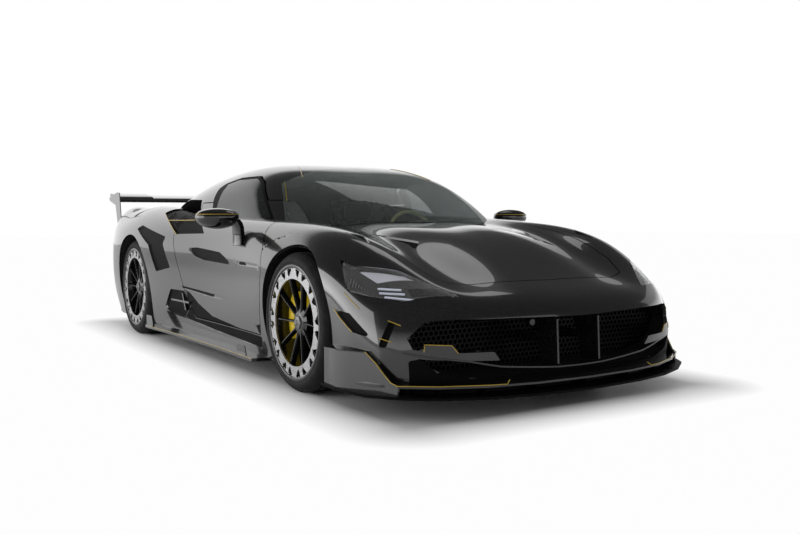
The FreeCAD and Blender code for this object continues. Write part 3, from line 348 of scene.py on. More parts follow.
class Sheet:
    """Faces on a skin, each with a tag for its finish. The vertices keep their place on the skin."""

    def __init__(self, skin, fields, step):
        self.skin = skin
        u, v = np.linspace(0, 1, COARSE_ROWS), np.linspace(0, 1, COARSE_COLUMNS)
        coarse = skin.grid(u, v)
        flat = coarse.reshape(-1, 3)
        kept = np.all([field(flat) < NEAR for field in fields], axis=0).reshape(coarse.shape[:2])
        rows, columns = np.where(kept.any(1))[0], np.where(kept.any(0))[0]
        u = self.spread(u[max(rows[0] - 1, 0):rows[-1] + 2], coarse[max(rows[0] - 1, 0):rows[-1] + 2], kept,
                        step)
        first, last = max(columns[0] - 1, 0), columns[-1] + 2
        v = self.spread(v[first:last], coarse.transpose(1, 0, 2)[first:last], kept.T, step)
        self.uv = np.stack(np.meshgrid(u, v, indexing="ij"), -1).reshape(-1, 2)
        index = np.arange(len(u) * len(v)).reshape(len(u), len(v))
        quads = np.stack([index[:-1, :-1], index[:-1, 1:], index[1:, 1:], index[1:, :-1]], -1).reshape(-1, 4)
        if skin.turn > 0:
            quads = quads[:, ::-1]
        self.quads, self.quad_tags = quads, np.zeros(len(quads), int)
        self.polys, self.poly_tags = [], []
        self.points = skin.at(self.uv)
        for field in fields:
            self.cut(field)

    @staticmethod
    def spread(values, points, kept, step):
        """Places along one direction of the skin, about a step apart."""
        used = kept.any(0)
        lengths = np.linalg.norm(np.diff(points[:, used], axis=0), axis=2)
        longest = np.sort(lengths, axis=1)[:, -max(1, lengths.shape[1] // 3):]
        run = np.concatenate([[0], np.cumsum(longest.mean(1))])
        count = max(4, int(round(run[-1] / step)))
        return np.interp(np.linspace(0, run[-1], count + 1), run, values)

    def cut(self, field, both=False, tag=0):
        """Keeps what lies inside the field, or with both keeps all and gives the inside a tag."""
        f = field(self.points)
        f[np.abs(f) < SNAP] = 0
        q = f[self.quads]
        whole, gone = (q <= 0).all(1), (q >= 0).all(1)
        gone &= ~whole
        mixed = ~whole & ~gone
        polys = [list(p) for p in self.quads[mixed]] + self.polys
        tags = list(self.quad_tags[mixed]) + self.poly_tags
        if both:
            self.quad_tags[whole] = tag
            kept = whole | gone
        else:
            kept = whole
        self.quads, self.quad_tags = self.quads[kept], self.quad_tags[kept]
        pairs = set()
        for poly in polys:
            for a, b in zip(poly, poly[1:] + poly[:1]):
                if f[a] * f[b] < 0:
                    pairs.add((a, b) if a < b else (b, a))
        pairs = np.array(sorted(pairs), int).reshape(-1, 2)
        made = {}
        if len(pairs):
            low, high = self.uv[pairs[:, 0]], self.uv[pairs[:, 1]]
            f_low, f_high = f[pairs[:, 0]], f[pairs[:, 1]]
            for _ in range(3):
                t = (f_low / (f_low - f_high))[:, None]
                uv = low + (high - low) * t
                value = field(self.skin.at(uv))
                same = np.sign(value) == np.sign(f_low)
                low, f_low = np.where(same[:, None], uv, low), np.where(same, value, f_low)
                high, f_high = np.where(same[:, None], high, uv), np.where(same, f_high, value)
                f_low = np.where(f_low == f_high, f_low + 1e-12, f_low)
            first = len(self.uv)
            self.uv = np.concatenate([self.uv, uv])
            self.points = np.concatenate([self.points, self.skin.at(uv)])
            made = {(a, b): first + k for k, (a, b) in enumerate(map(tuple, pairs))}
        new_polys, new_tags = [], []
        for poly, old in zip(polys, tags):
            within, beyond = [], []
            for a, b in zip(poly, poly[1:] + poly[:1]):
                if f[a] <= 0:
                    within.append(a)
                if f[a] >= 0:
                    beyond.append(a)
                if f[a] * f[b] < 0:
                    m = made[(a, b) if a < b else (b, a)]
                    within.append(m)
                    beyond.append(m)
            solid_within = len(within) > 2 and any(v < len(f) and f[v] < 0 for v in within)
            solid_beyond = len(beyond) > 2 and any(v < len(f) and f[v] > 0 for v in beyond)
            if solid_within:
                new_polys.append(within)
                new_tags.append(tag if both else old)
            if both and solid_beyond:
                new_polys.append(beyond)
                new_tags.append(old)
        self.polys, self.poly_tags = new_polys, new_tags


def sunk(field, depth, wall):
    """How far a sunk field moves each point inwards, behind a sloping wall of some width."""
    return lambda p: depth * np.clip(-field(p) / wall, 0, 1)


def level(depth):
    """Moves every point inwards by one depth."""
    return lambda p: np.full(len(p), depth)


def open_edges(faces):
    """Edges with one face, each in the direction of its face."""
    seen = {}
    for face in faces:
        for a, b in zip(face, face[1:] + face[:1]):
            key = (a, b) if a < b else (b, a)
            if key in seen:
                seen[key] = None
            else:
                seen[key] = (a, b)
    return [edge for edge in seen.values() if edge]


SHARP = math.radians(32)


def placed(name, data):
    """A new object in the scene, at the origin."""
    obj = bpy.data.objects.new(name, data)
    bpy.context.scene.collection.objects.link(obj)
    return obj


def mesh_object(name, points, faces, finishes, tags=None, smooth=True, normals=None, plain=None):
    """A mesh object at the origin. Where a face is plain, its corners take the given normals."""
    mesh = bpy.data.meshes.new(name)
    mesh.from_pydata(np.asarray(points).tolist(), [], [list(map(int, f)) for f in faces])
    for finish in finishes:
        mesh.materials.append(finish)
    if tags is not None:
        mesh.polygons.foreach_set("material_index", np.array(tags, np.int32))
    mesh.polygons.foreach_set("use_smooth", np.full(len(faces), smooth))
    if smooth:
        mesh.set_sharp_from_angle(angle=SHARP)
    mesh.update()
    if normals is not None:
        corners = np.zeros(len(mesh.loops) * 3, np.float32)
        mesh.corner_normals.foreach_get("vector", corners)
        corners = corners.reshape(-1, 3)
        owner = np.zeros(len(mesh.loops), np.int32)
        mesh.loops.foreach_get("vertex_index", owner)
        sizes = np.zeros(len(faces), np.int32)
        mesh.polygons.foreach_get("loop_total", sizes)
        taken = np.repeat(np.asarray(plain, bool), sizes)
        corners[taken] = normals[owner[taken]]
        mesh.normals_split_custom_set(corners.tolist())
    return placed(name, mesh)


def sheet_data(sheet, moves=(), rim=0.0):
    """Points, faces, tags, normals and plain faces of a sheet with its rim turned in."""
    faces = [list(map(int, q)) for q in sheet.quads] + [list(map(int, p)) for p in sheet.polys]
    tags = list(sheet.quad_tags) + list(sheet.poly_tags)
    used = np.unique(np.concatenate([np.array(f) for f in faces]))
    renumber = np.full(len(sheet.uv), -1)
    renumber[used] = np.arange(len(used))
    faces = [[int(renumber[v]) for v in f] for f in faces]
    uv = sheet.uv[used]
    points, normals = sheet.points[used], sheet.skin.normal(uv)
    depth = np.zeros(len(points))
    for move in moves:
        depth += move(points)
    still = np.abs(depth) < 1e-7
    moved = points - normals * depth[:, None]
    plain = [bool(still[f].all()) for f in faces]
    edges = open_edges(faces)
    if rim:
        ends = sorted({v for edge in edges for v in edge})
        first = len(moved)
        at = {v: first + k for k, v in enumerate(ends)}
        moved = np.concatenate([moved, moved[ends] - normals[ends] * rim])
        normals = np.concatenate([normals, normals[ends]])
        for a, b in edges:
            faces.append([b, a, at[a], at[b]])
            tags.append(0)
            plain.append(False)
    return moved, faces, tags, normals, plain


def merged(*parts):
    """One set of points, faces, tags, normals and plain faces from several."""
    points, faces, tags, normals, plain = [], [], [], [], []
    count = 0
    for part in parts:
        points.append(part[0])
        faces += [[v + count for v in f] for f in part[1]]
        tags += list(part[2])
        normals.append(part[3])
        plain += list(part[4])
        count += len(part[0])
    return np.concatenate(points), faces, tags, np.concatenate(normals), plain


def flipped(part):
    """The same on the car's other side."""
    points, faces, tags, normals, plain = part
    swap = np.array([1, -1, 1])
    return points * swap, [f[::-1] for f in faces], tags, normals * swap, plain


# Finishes
def add_node(tree, kind, settings, inputs):
    """A node with its settings, and a value or a link at each socket that is named."""
    made = tree.nodes.new(kind)
    for key, value in (settings or {}).items():
        setattr(made, key, value)
    for key, value in (inputs or {}).items():
        if isinstance(value, bpy.types.NodeSocket):
            tree.links.new(value, made.inputs[key])
        else:
            made.inputs[key].default_value = value
    return made


class Wire:
    """A shader socket on which sums are written as on a number."""

    def __init__(self, finish, socket):
        self.finish, self.socket = finish, socket

    def __add__(self, other):
        return self.finish.maths("ADD", self, other)

    def __radd__(self, other):
        return self.finish.maths("ADD", other, self)

    def __sub__(self, other):
        return self.finish.maths("SUBTRACT", self, other)

    def __rsub__(self, other):
        return self.finish.maths("SUBTRACT", other, self)

    def __mul__(self, other):
        return self.finish.maths("MULTIPLY", self, other)

    def __rmul__(self, other):
        return self.finish.maths("MULTIPLY", other, self)

    def __pow__(self, other):
        return self.finish.maths("POWER", self, other)

    def __gt__(self, other):
        return self.finish.maths("GREATER_THAN", self, other)

    def __lt__(self, other):
        return self.finish.maths("LESS_THAN", self, other)


class Finish:
    """A material and the nodes that make it."""

    def __init__(self, name, **constants):
        self.material = bpy.data.materials.new(name)
        self.material.use_nodes = True
        self.tree = self.material.node_tree
        self.shader = self.tree.nodes["Principled BSDF"]
        for socket, value in constants.items():
            self.shader.inputs[socket.replace("_", " ")].default_value = value

    def node(self, kind, settings=None, inputs=None, output=0):
        inputs = {key: getattr(value, "socket", value) for key, value in (inputs or {}).items()}
        return Wire(self, add_node(self.tree, kind, settings, inputs).outputs[output])

    def maths(self, operation, a, b=0.0):
        return self.node("ShaderNodeMath", {"operation": operation}, {0: a, 1: b})

    def place(self, scale=(1, 1, 1)):
        where = self.node("ShaderNodeTexCoord", output="Object")
        return self.node("ShaderNodeMapping", inputs={"Vector": where, "Scale": scale})

    def axis(self, name, vector=None):
        return self.node("ShaderNodeSeparateXYZ", inputs={0: vector or self.place()}, output=name)

    def noise(self, scale, detail=3.0, vector=None):
        return self.node("ShaderNodeTexNoise", output="Fac",
                         inputs={"Vector": vector or self.place(), "Scale": scale, "Detail": detail})

    def range(self, value, low, high, start=0.0, end=1.0):
        return self.node("ShaderNodeMapRange", {"clamp": True},
                         {"Value": value, "From Min": start, "From Max": end, "To Min": low, "To Max": high})

    def mix(self, factor, a, b):
        return self.node("ShaderNodeMix", {"data_type": "RGBA"}, {0: factor, 6: a, 7: b}, output=2)

    def feed(self, **wires):
        for socket, wire in wires.items():
            self.tree.links.new(wire.socket, self.shader.inputs[socket.replace("_", " ")])
        return self

    def bump(self, height, distance, strength=1.0):
        bumped = self.node("ShaderNodeBump", inputs={"Height": height, "Distance": distance,
                                                     "Strength": strength})
        return self.feed(Normal=bumped)


def colour(value):
    """A grey from one number, or a colour from three."""
    return (value,) * 3 + (1,) if isinstance(value, (int, float)) else (*value, 1)


def mottled(name, mottle, dark, light, gloss, grain=None, spread=None, **constants):
    """A finish that mottles between two colours. Its gloss is uneven, and it may have a fine grain.

    The mottling has a scale and may have a detail, the gloss a scale and its least and greatest roughness,
    and the grain a scale, a detail, a depth and a strength."""
    f = Finish(name, **constants)
    factor = f.noise(*mottle)
    if spread:
        factor = f.range(factor, 0.0, 1.0, *spread)
    f.feed(Base_Color=f.mix(factor, colour(dark), colour(light)),
           Roughness=f.range(f.noise(gloss[0]), *gloss[1:]))
    if grain:
        scale, detail, depth, strength = grain
        f.bump(f.noise(scale, detail), depth, strength)
    return f


def ribbed(name, axis, pitch, base, glow, gloss, ridge=None, **constants):
    """A lamp's surface in fine ribs, each from a darker to a lighter colour, that glows a little."""
    f = Finish(name, **constants)
    ribs = f.range(f.maths("SINE", f.axis(axis) * pitch), 0.0, 1.0, -1.0, 1.0)
    f.feed(Base_Color=f.mix(ribs, *map(colour, base)), Emission_Color=f.mix(ribs, *map(colour, glow)),
           Roughness=f.range(f.noise(gloss[0]), *gloss[1:]))
    if ridge:
        f.bump(ribs, *ridge)
    return f


def leather(name, scale, dark, light, gloss, **constants):
    """Leather with a grain of small cells."""
    f = Finish(name, **constants)
    cells = f.node("ShaderNodeTexVoronoi", {"feature": "DISTANCE_TO_EDGE"},
                   {"Vector": f.place(), "Scale": scale}, "Distance")
    grain = f.range(cells, 0.0, 1.0, 0.0, 0.12)
    f.feed(Base_Color=f.mix(grain, colour(dark), colour(light)),
           Roughness=f.range(f.noise(gloss[0]), *gloss[1:]))
    return f.bump(grain, 0.0003, 0.5)


def body_paint(look):
    """Black under a clear lacquer, with a little flake, soft clouds and the lacquer's fine waves."""
    f = Finish("gloss_black_paint", Coat_Weight=1.0, Coat_Roughness=0.012, Coat_IOR=look.lacquer_index,
               IOR=1.5)
    flake = f.node("ShaderNodeTexVoronoi", inputs={"Vector": f.place(), "Scale": 900.0}, output="Color")
    glint = f.axis("X", flake) > 0.93
    cloud = f.range(f.noise(1.6, 2.0), 0.0, 1.0, 0.35, 0.65)
    base = f.mix(cloud, colour(look.paint), colour(c * 1.6 for c in look.paint))
    f.feed(Base_Color=f.mix(glint * 0.5, base, colour(0.09)), Roughness=f.range(f.noise(3.0), 0.16, 0.24))
    return f.bump(f.noise(85.0, 1.0), 0.00002, 0.35)


def carbon():
    """Twill of carbon under a satin lacquer."""
    f = Finish("satin_carbon_black", Coat_Weight=0.5, Coat_Roughness=0.12)
    x, y, z = (f.axis(a) for a in "XYZ")
    warp = f.maths("SINE", (x + z) * 1400.0)
    weft = f.maths("SINE", (y + x * 0.3) * 1400.0)
    twill = f.maths("SINE", (x + y + z) * 700.0)
    thread = f.range(warp * twill + weft, 0.0, 1.0, -1.6, 1.6)
    f.feed(Base_Color=f.mix(thread, colour(0.006), colour(0.016)),
           Roughness=f.range(f.noise(14.0), 0.2, 0.34))
    return f.bump(thread, 0.00008, 0.3)


def aero_silver():
    """Brushed silver of the wheels' flat rings."""
    f = Finish("silver_aero_ring", Metallic=0.85, Coat_Weight=0.4, Coat_Roughness=0.1)
    brushed = f.noise(30.0, 4.0, f.place(scale=(1, 9, 1)))
    return f.feed(Base_Color=f.mix(brushed, colour((0.5, 0.5, 0.51)), colour((0.66, 0.66, 0.67))),
                  Roughness=f.range(brushed, 0.26, 0.42))


def caliper_yellow_painted_glow(look):
    """Lacquered yellow with a faint painted glow, so that it shows between the spokes in the wheel's shade.
    """
    f = Finish("yellow_caliper", Coat_Weight=0.8, Coat_Roughness=0.08, Emission_Strength=0.35)
    yellow = f.mix(f.noise(22.0), colour(look.caliper), colour(c * 0.85 for c in look.caliper))
    return f.feed(Base_Color=yellow, Emission_Color=yellow, Roughness=f.range(f.noise(90.0), 0.3, 0.42))


def finishes(look):
    """Every finish on the car, by name."""
    made = {
        "paint": body_paint(look),
        "gold": mottled("gold_pinstripe", (40,), look.pinstripe, [c * 0.82 for c in look.pinstripe],
                        (120, 0.28, 0.4), Metallic=0.15, Coat_Weight=0.8, Coat_Roughness=0.05),
        "carbon": carbon(),
        "trim": mottled("gloss_black_trim", (8,), 0.004, 0.008, (30, 0.1, 0.18),
                        Coat_Weight=1.0, Coat_Roughness=0.02, Coat_IOR=1.6),
        # Near black that hardly mirrors. It is the black of the glass borders and inlays, and painted shade
        # in the sunk vents, slots, gills and ducts, on the shoulder, the chin and the splitter's plate
        "dark_trim_and_shade": mottled("recess_black", (16,), 0.002, 0.005, (50, 0.4, 0.55), Specular_IOR_Level=0.06),
        "matt": mottled("matt_black_moulding", (25,), 0.012, 0.022, (60, 0.5, 0.7), (700, 4, 0.0003, 0.4),
                        Specular_IOR_Level=0.3),
        "chassis": mottled("undertray", (9, 5), 0.014, (0.035, 0.033, 0.03), (30, 0.55, 0.8),
                           (220, 3, 0.0006, 0.4), (0.45, 0.75)),
        "grille": mottled("open_mesh_black", (50,), 0.003, 0.006, (90, 0.35, 0.5), Specular_IOR_Level=0.25),
        # Painted shadow, put where openings and hollows lie in shade
        "painted_shadow": mottled("deep_shadow", (20,), 0.002, 0.004, (40, 0.8, 0.95), Specular_IOR_Level=0.05),
        "tyre": mottled("tyre_rubber", (18, 5), 0.007, 0.016, (70, 0.6, 0.8), (420, 4, 0.0004, 0.5),
                        (0.4, 0.7), Specular_IOR_Level=0.35),
        "wheel": mottled("gloss_black_wheel", (12,), 0.006, 0.012, (45, 0.22, 0.34), (260, 3, 0.00006, 0.3),
                         Coat_Weight=0.9, Coat_Roughness=0.06, Metallic=0.4),
        "ring": aero_silver(),
        "disc": mottled("brake_iron", (160, 5), (0.035, 0.033, 0.034), (0.06, 0.057, 0.056), (300, 0.32, 0.5),
                        Metallic=0.9),
        "caliper": caliper_yellow_painted_glow(look),
        "alloy": mottled("cast_metal", (35, 5), 0.2, 0.32, (80, 0.38, 0.6), (500, 3, 0.0003, 0.4),
                         Metallic=0.8),
        "steel": mottled("dull_steel", (28, 5), 0.03, 0.06, (70, 0.4, 0.62), Metallic=0.7),
        "pipe": mottled("tailpipe", (11, 4), (0.32, 0.3, 0.29), (0.2, 0.17, 0.19), (60, 0.2, 0.34),
                        spread=(0.35, 0.65), Metallic=1.0),
        "screen": mottled("screen_glass", (1.2,), (0.4, 0.46, 0.44), (0.46, 0.51, 0.49), (5, 0.0, 0.012),
                          Transmission_Weight=1.0, IOR=1.45),
        "side_glass": mottled("dark_side_glass", (1.4,), (0.1, 0.105, 0.11), (0.14, 0.145, 0.15),
                              (5, 0.0, 0.015), Transmission_Weight=1.0, IOR=1.5),
        "lens": mottled("lamp_lens", (3,), 0.93, 0.97, (9, 0.0, 0.01), Transmission_Weight=1.0, IOR=1.4),
        "lamp_blade": mottled("lamp_blade", (6,), (0.5, 0.5, 0.58), (0.6, 0.6, 0.67), (25, 0.25, 0.35)),
        "lamp_light": ribbed("lamp_light", "X", 900, ((0.32, 0.34, 0.42), (0.45, 0.47, 0.55)),
                             ((0.35, 0.37, 0.46), (0.5, 0.52, 0.6)), (40, 0.2, 0.3), Emission_Strength=0.45),
        "tail": ribbed("red_tail_lens", "Y", 620, ((0.2, 0.006, 0.006), (0.38, 0.012, 0.01)),
                       ((0.35, 0.005, 0.004), (0.9, 0.02, 0.015)), (30, 0.12, 0.2), (0.0006, 0.4),
                       Coat_Weight=1.0, Coat_Roughness=0.03, Emission_Strength=0.25),
        "suede": mottled("seat_suede", (240, 5), 0.011, 0.026, (90, 0.68, 0.88), (900, 2, 0.0003, 0.5),
                         Sheen_Weight=0.35, Sheen_Roughness=0.4),
        "leather": leather("seat_leather", 330, 0.008, 0.02, (60, 0.42, 0.6), Coat_Weight=0.1,
                           Coat_Roughness=0.35),
        "yellow_leather": leather("pale_yellow_leather", 420, (0.62, 0.56, 0.22), (0.8, 0.74, 0.34),
                                  (60, 0.42, 0.58), Coat_Weight=0.1, Coat_Roughness=0.4),
        "plate": mottled("plain_plate", (10,), 0.6, 0.66, (50, 0.35, 0.48)),
        "display": mottled("display_glass", (4,), 0.006, (0.01, 0.012, 0.016), (30, 0.08, 0.16),
                           Coat_Weight=1.0, Coat_Roughness=0.03),
        "mirror": mottled("mirror_glass", (3,), 0.75, 0.8, (8, 0.01, 0.03), Metallic=1.0),
    }
    return {name: f.material for name, f in made.items()}


FINISH = {}


def dress(piece, body, node=None):
    """Rides a piece on its body, and hides the node that it stands for."""
    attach(piece, body)
    if node:
        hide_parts(*([node] if isinstance(node, str) else node))
    return piece


# Stage
FLOOR_HALF = 40.0
CAR_HALF = (2.2, 0.85)       # the floor keeps its own shade under this and a little beyond it
FLOOR_FADE = (0.02, 0.36)
WHITE = 0.985
BEHIND_X, BEHIND_Y = (-0.84, -0.7), (-0.5, -0.3)
BEHIND_RISE = 0.44           # how much higher the mirrored white reaches behind the car
SKY_BAND = (0.05, 0.26)
FAR_SHARE = 0.18             # of the near softbox's brightness


def floor_finish():
    f = Finish("pale_floor", Specular_IOR_Level=0.25)
    f.feed(Base_Color=f.mix(f.noise(0.7), colour(0.86), colour(0.88)),
           Roughness=f.range(f.noise(2.0), 0.32, 0.4))
    tree, out = f.tree, f.tree.nodes["Material Output"]
    seen = f.node("ShaderNodeLightPath", output="Is Camera Ray")
    where = f.node("ShaderNodeTexCoord", output="Object")
    along = f.maths("MAXIMUM", f.maths("ABSOLUTE", f.axis("X", where)) - CAR_HALF[0], 0.0)
    across = f.maths("MAXIMUM", f.maths("ABSOLUTE", f.axis("Y", where)) - CAR_HALF[1], 0.0)
    far = f.range((along * along + across * across) ** 0.5, 0.0, 1.0, *FLOOR_FADE)
    white = f.node("ShaderNodeEmission", inputs={"Color": colour(WHITE), "Strength": 1.0})
    blend = f.node("ShaderNodeMixShader", inputs={0: far * seen})
    tree.links.new(f.shader.outputs[0], blend.socket.node.inputs[1])
    tree.links.new(white.socket, blend.socket.node.inputs[2])
    tree.links.new(blend.socket, out.inputs["Surface"])
    return f.material


def studio_world(sky):
    """White where it is seen, darker overhead where it is mirrored, and plain where it only lights."""
    world = bpy.data.worlds.new("Studio")
    bpy.context.scene.world = world
    world.use_nodes = True
    f = Finish.__new__(Finish)
    f.tree = world.node_tree
    background = f.tree.nodes["Background"]
    path = {name: f.node("ShaderNodeLightPath", output=name)
            for name in ("Is Camera Ray", "Is Glossy Ray", "Is Transmission Ray")}
    where = f.node("ShaderNodeTexCoord", output="Generated")
    behind = f.range(f.axis("X", where), 1.0, 0.0, *BEHIND_X)
    behind = behind * f.range(f.axis("Y", where), 0.0, 1.0, *BEHIND_Y)
    overhead = f.range(f.axis("Z", where) - behind * BEHIND_RISE, 1.0, sky.overhead, *SKY_BAND)
    seen = f.maths("MAXIMUM", path["Is Camera Ray"], path["Is Transmission Ray"])
    mirrored = f.maths("MAXIMUM", seen, path["Is Glossy Ray"])
    backdrop = f.maths("MAXIMUM", overhead, seen)
    strength = mirrored * backdrop + (1 - mirrored) * sky.fill
    f.tree.links.new(strength.socket, background.inputs["Strength"])
    background.inputs["Color"].default_value = (1, 1, 1, 1)


def softbox(name, place, target, size, glow):
    lamp = bpy.data.lights.new(name, "AREA")
    lamp.shape = "RECTANGLE"
    lamp.size, lamp.size_y = size
    lamp.energy = glow * math.pi * size[0] * size[1]
    obj = placed(name, lamp)
    obj.location = place
    obj.rotation_euler = (Vector(target) - Vector(place)).to_track_quat("-Z", "Y").to_euler()


CAMERA_PLACE = (3.861, -2.798, 0.847)        # from the front axle's middle on the floor
CAMERA_TURN = (-32.618, 3.149, -0.116)       # yaw, pitch and roll in degrees
SENSOR_WIDTH, LENS = 36.0, 39.61


def set_camera():
    camera = bpy.data.cameras.new("Camera")
    camera.sensor_width, camera.lens = SENSOR_WIDTH, LENS
    obj = placed("Camera", camera)
    obj.location = Vector(CAMERA_PLACE) + Vector((AXLE, 0, 0))
    yaw, pitch, roll = (math.radians(a) for a in CAMERA_TURN)
    look = Vector((-math.cos(yaw) * math.cos(pitch), -math.sin(yaw) * math.cos(pitch), -math.sin(pitch)))
    turn = look.to_track_quat("-Z", "Y").to_matrix() @ Matrix.Rotation(roll, 3, "Z")
    obj.rotation_euler = turn.to_euler()
    bpy.context.scene.camera = obj


def build_stage(sky):
    set_camera()
    studio_world(sky)
    corners = [(-FLOOR_HALF, -FLOOR_HALF, 0), (FLOOR_HALF, -FLOOR_HALF, 0), (FLOOR_HALF, FLOOR_HALF, 0),
               (-FLOOR_HALF, FLOOR_HALF, 0)]
    floor = mesh_object("floor", corners, [(0, 1, 2, 3)], [floor_finish()])
    softbox("side_softbox", (-1.5, -5.2, 1.5), (-0.5, 0, 0.6), (7.0, 2.6), sky.side_glow)
    softbox("far_softbox", (-0.5, 5.4, 1.6), (0, 0, 0.6), (7.0, 2.6), sky.side_glow * FAR_SHARE)
    softbox("front_softbox", (6.2, 0.8, 1.7), (1.5, 0, 0.5), (4.0, 2.2), sky.front_glow)
    softbox("top_softbox", (-1.6, 2.3, 4.6), (-1.6, 2.3, 0), (1.8, 2.2), sky.top_glow)
    bpy.context.scene.view_settings.view_transform = "Standard"


# Body panels
PANEL = 0.02                 # thickness that a panel's rim and inner face show
GAP = 0.006
RECESS = 0.01
INLAY = 0.002
LIP = 0.004                  # width of a sunk field's sloping wall
STEP, BACK_STEP = 0.018, 0.035


def cover_half(rear):
    return COVER_OUTLINE[:-2] + [(rear, 440), (rear, 0)]


DOOR_FIELD = side_field([(-470, 232), (-450, 330), (-392, 560), (-400, 700), (-470, 800), (-520, 950),
                         (-1800, 950), (-1815, 800), (-1802, 720), (-1732, 572), (-1647, 407), (-1560, 300),
                         (-1480, 232)], 0.6)
LID_FIELD = plan_field([(768, 0), (762, 200), (738, 430), (690, 560), (560, 610), (300, 630), (-60, 640),
                        (-430, 665), (-400, 560), (-300, 400), (-225, 230), (-195, 0)], 0.42)
COVER_FIELD = plan_field(COVER_OUTLINE, 0.78)
COVER_CLEAR = plan_field(cover_half(-3256), 0.78)
SILL_FIELD = side_field([(-300, 0), (-300, 200), (-475, 222), (-1485, 222), (-1655, 395), (-1700, 440),
                         (-2400, 445), (-2400, 0)], 0.0)
GRILLE_FIELD = front_field(GRILLE_OUTLINE, 560, 1200)
TAIL_FIELD = front_field([(0, 640), (560, 640), (700, 655), (800, 690), (770, 740), (0, 740)], -3800, -3440)
LAMP_FIELD = facing_field([(366, 883, 664), (456, 866, 640), (611, 721, 617), (846, 550, 511),
                           (735, 775, 490), (600, 862, 500), (489, 918, 526)], LAMP_FACING)
WINDOW_FIELD = side_field([(-566, 760), (-566, 795), (-760, 925), (-1000, 1062), (-1120, 1102), (-1370, 1100),
                           (-1560, 1068), (-1610, 1040), (-1590, 900), (-1570, 760)], 0.5)
SCREEN_FIELD = plan_field([(-100, 0), (-180, 330), (-320, 560), (-470, 705), (-560, 715), (-880, 590),
                           (-900, 470), (-980, 300), (-1055, 0)], 0.6)
SCOOP_FIELD = side_field([(-1785, 832), (-1850, 975), (-2250, 985), (-2750, 930), (-2400, 880), (-1960, 835)],
                         0.3)
SLASH_FIELD = side_field([(-891, 586), (-905, 606), (-1052, 652), (-1411, 671), (-1582, 664), (-1432, 615),
                          (-1297, 596)], 0.7)
GILL_FIELD = side_field([(-2524, 778), (-2446, 805), (-1934, 729), (-1969, 684), (-1850, 527), (-2103, 490),
                         (-2232, 669)], 0.6)
DUCT_FIELD = side_field([(-1874, 384), (-1626, 386), (-1530, 310), (-1620, 203), (-1896, 218), (-2011, 252)],
                        0.7)
VENT_FIELD = plan_field([(-31, 522), (258, 445), (338, 458), (254, 371)], 0.56)
WING_VENT_FIELD = plan_field([(136, 759), (210, 735), (375, 725), (249, 684)], 0.56)
SWOOSH_FIELD = side_field([(-1640, 398), (-1547, 381), (-1432, 326), (-1212, 264), (-954, 246), (-703, 228),
                           (-452, 221), (-473, 154), (-724, 161), (-1170, 176), (-1591, 201), (-1700, 206),
                           (-1570, 300)], 0.7)
GROOVE_FIELD = side_field([(-2212, 445), (-1647, 419), (-1038, 395), (-703, 381), (-766, 375), (-1213, 376),
                           (-1655, 399), (-2090, 417)], 0.7)
FRONT_SLASH_FIELD = side_field([(-822, 617), (-447, 610), (-419, 588), (-738, 590)], 0.7)
STEP_FIELD = side_field([(-536, 276), (-411, 301), (-431, 220), (-501, 236)], 0.7)
LOUVRE_FIELD = side_field([(-433, 665), (-344, 701), (-263, 735), (-177, 755), (-177, 769), (-268, 751),
                           (-352, 717), (-440, 681)], 0.7)
# Painted shade: a dark field on the upper rear door and the shoulder, for the dark of the scoop's opening
SHOULDER_FIELD = side_field([(-2235, 888), (-1995, 827), (-1774, 749), (-1347, 758), (-1450, 815),
                             (-1544, 869), (-1560, 940), (-2235, 940)], 0.5)
PILLAR_FIELD = side_field([(-1490, 1120), (-1700, 1120), (-1700, 700), (-1535, 700)], 0.5)
# Painted shade: a dark field below the mouth, so that the mouth's shade reaches down to the splitter's lip
CHIN_FIELD = front_field([(0, 200), (430, 205), (640, 240), (760, 262), (800, 250), (790, 108), (0, 108)],
                         560, 1200)
SLOT_FIELDS = [facing_field(outline, SLOT_FACING, 0.06) for outline in SLOT_OUTLINES]
UNDER_TAIL = [(-3000, 60), (-3045, 115), (-3300, 156), (-3611, 258), (-3720, 258), (-3720, 60)]
EXHAUST_Y, EXHAUST_Z, EXHAUST_HOLE = 0.1, 0.47, 0.062
ABOVE_CABIN, ABOVE_BODY = above(CABIN_HEIGHTS), above(BODY_HEIGHTS)


def along_field(x, forwards):
    """Inside is everything on one side of a place along the car."""
    limit = AXLE + x / 1000
    return lambda p: (limit - p[:, 0]) * (1 if forwards else -1)


def under_tail(p):
    return np.maximum(outline_field(p[:, [0, 2]], mm_outline(UNDER_TAIL, (AXLE, 0))), np.abs(p[:, 1]) - 0.708)


def pipe_holes(p):
    away = np.hypot(np.abs(p[:, 1]) - EXHAUST_Y, p[:, 2] - EXHAUST_Z) - EXHAUST_HOLE
    return np.maximum(away, p[:, 0] - AXLE + 3.4)


def panel_part(skin, fields, sinks=(), step=STEP, rim=PANEL):
    """A sheet with sunk fields, its rim and its inner face."""
    sheet = Sheet(skin, fields, step)
    moves = []
    for field, depth, wall_tag, floor_tag in sinks:
        sheet.cut(field, both=True, tag=wall_tag)
        sheet.cut(inside(field, LIP), both=True, tag=floor_tag)
        moves.append(sunk(field, depth, LIP))
    return merged(sheet_data(sheet, moves, rim), back_face(skin, fields, rim))


def back_face(skin, fields, depth):
    points, faces, _, normals, _ = sheet_data(Sheet(skin, fields, BACK_STEP))
    return points - normals * depth, [f[::-1] for f in faces], [0] * len(faces), -normals, [True] * len(faces)


def panel(name, part, names, node=None, body="body"):
    points, faces, tags, normals, plain = part
    obj = mesh_object(name, points, faces, [FINISH[n] for n in names], tags, normals=normals, plain=plain)
    return dress(obj, body, node)


def left_only(p):
    return -p[:, 1]


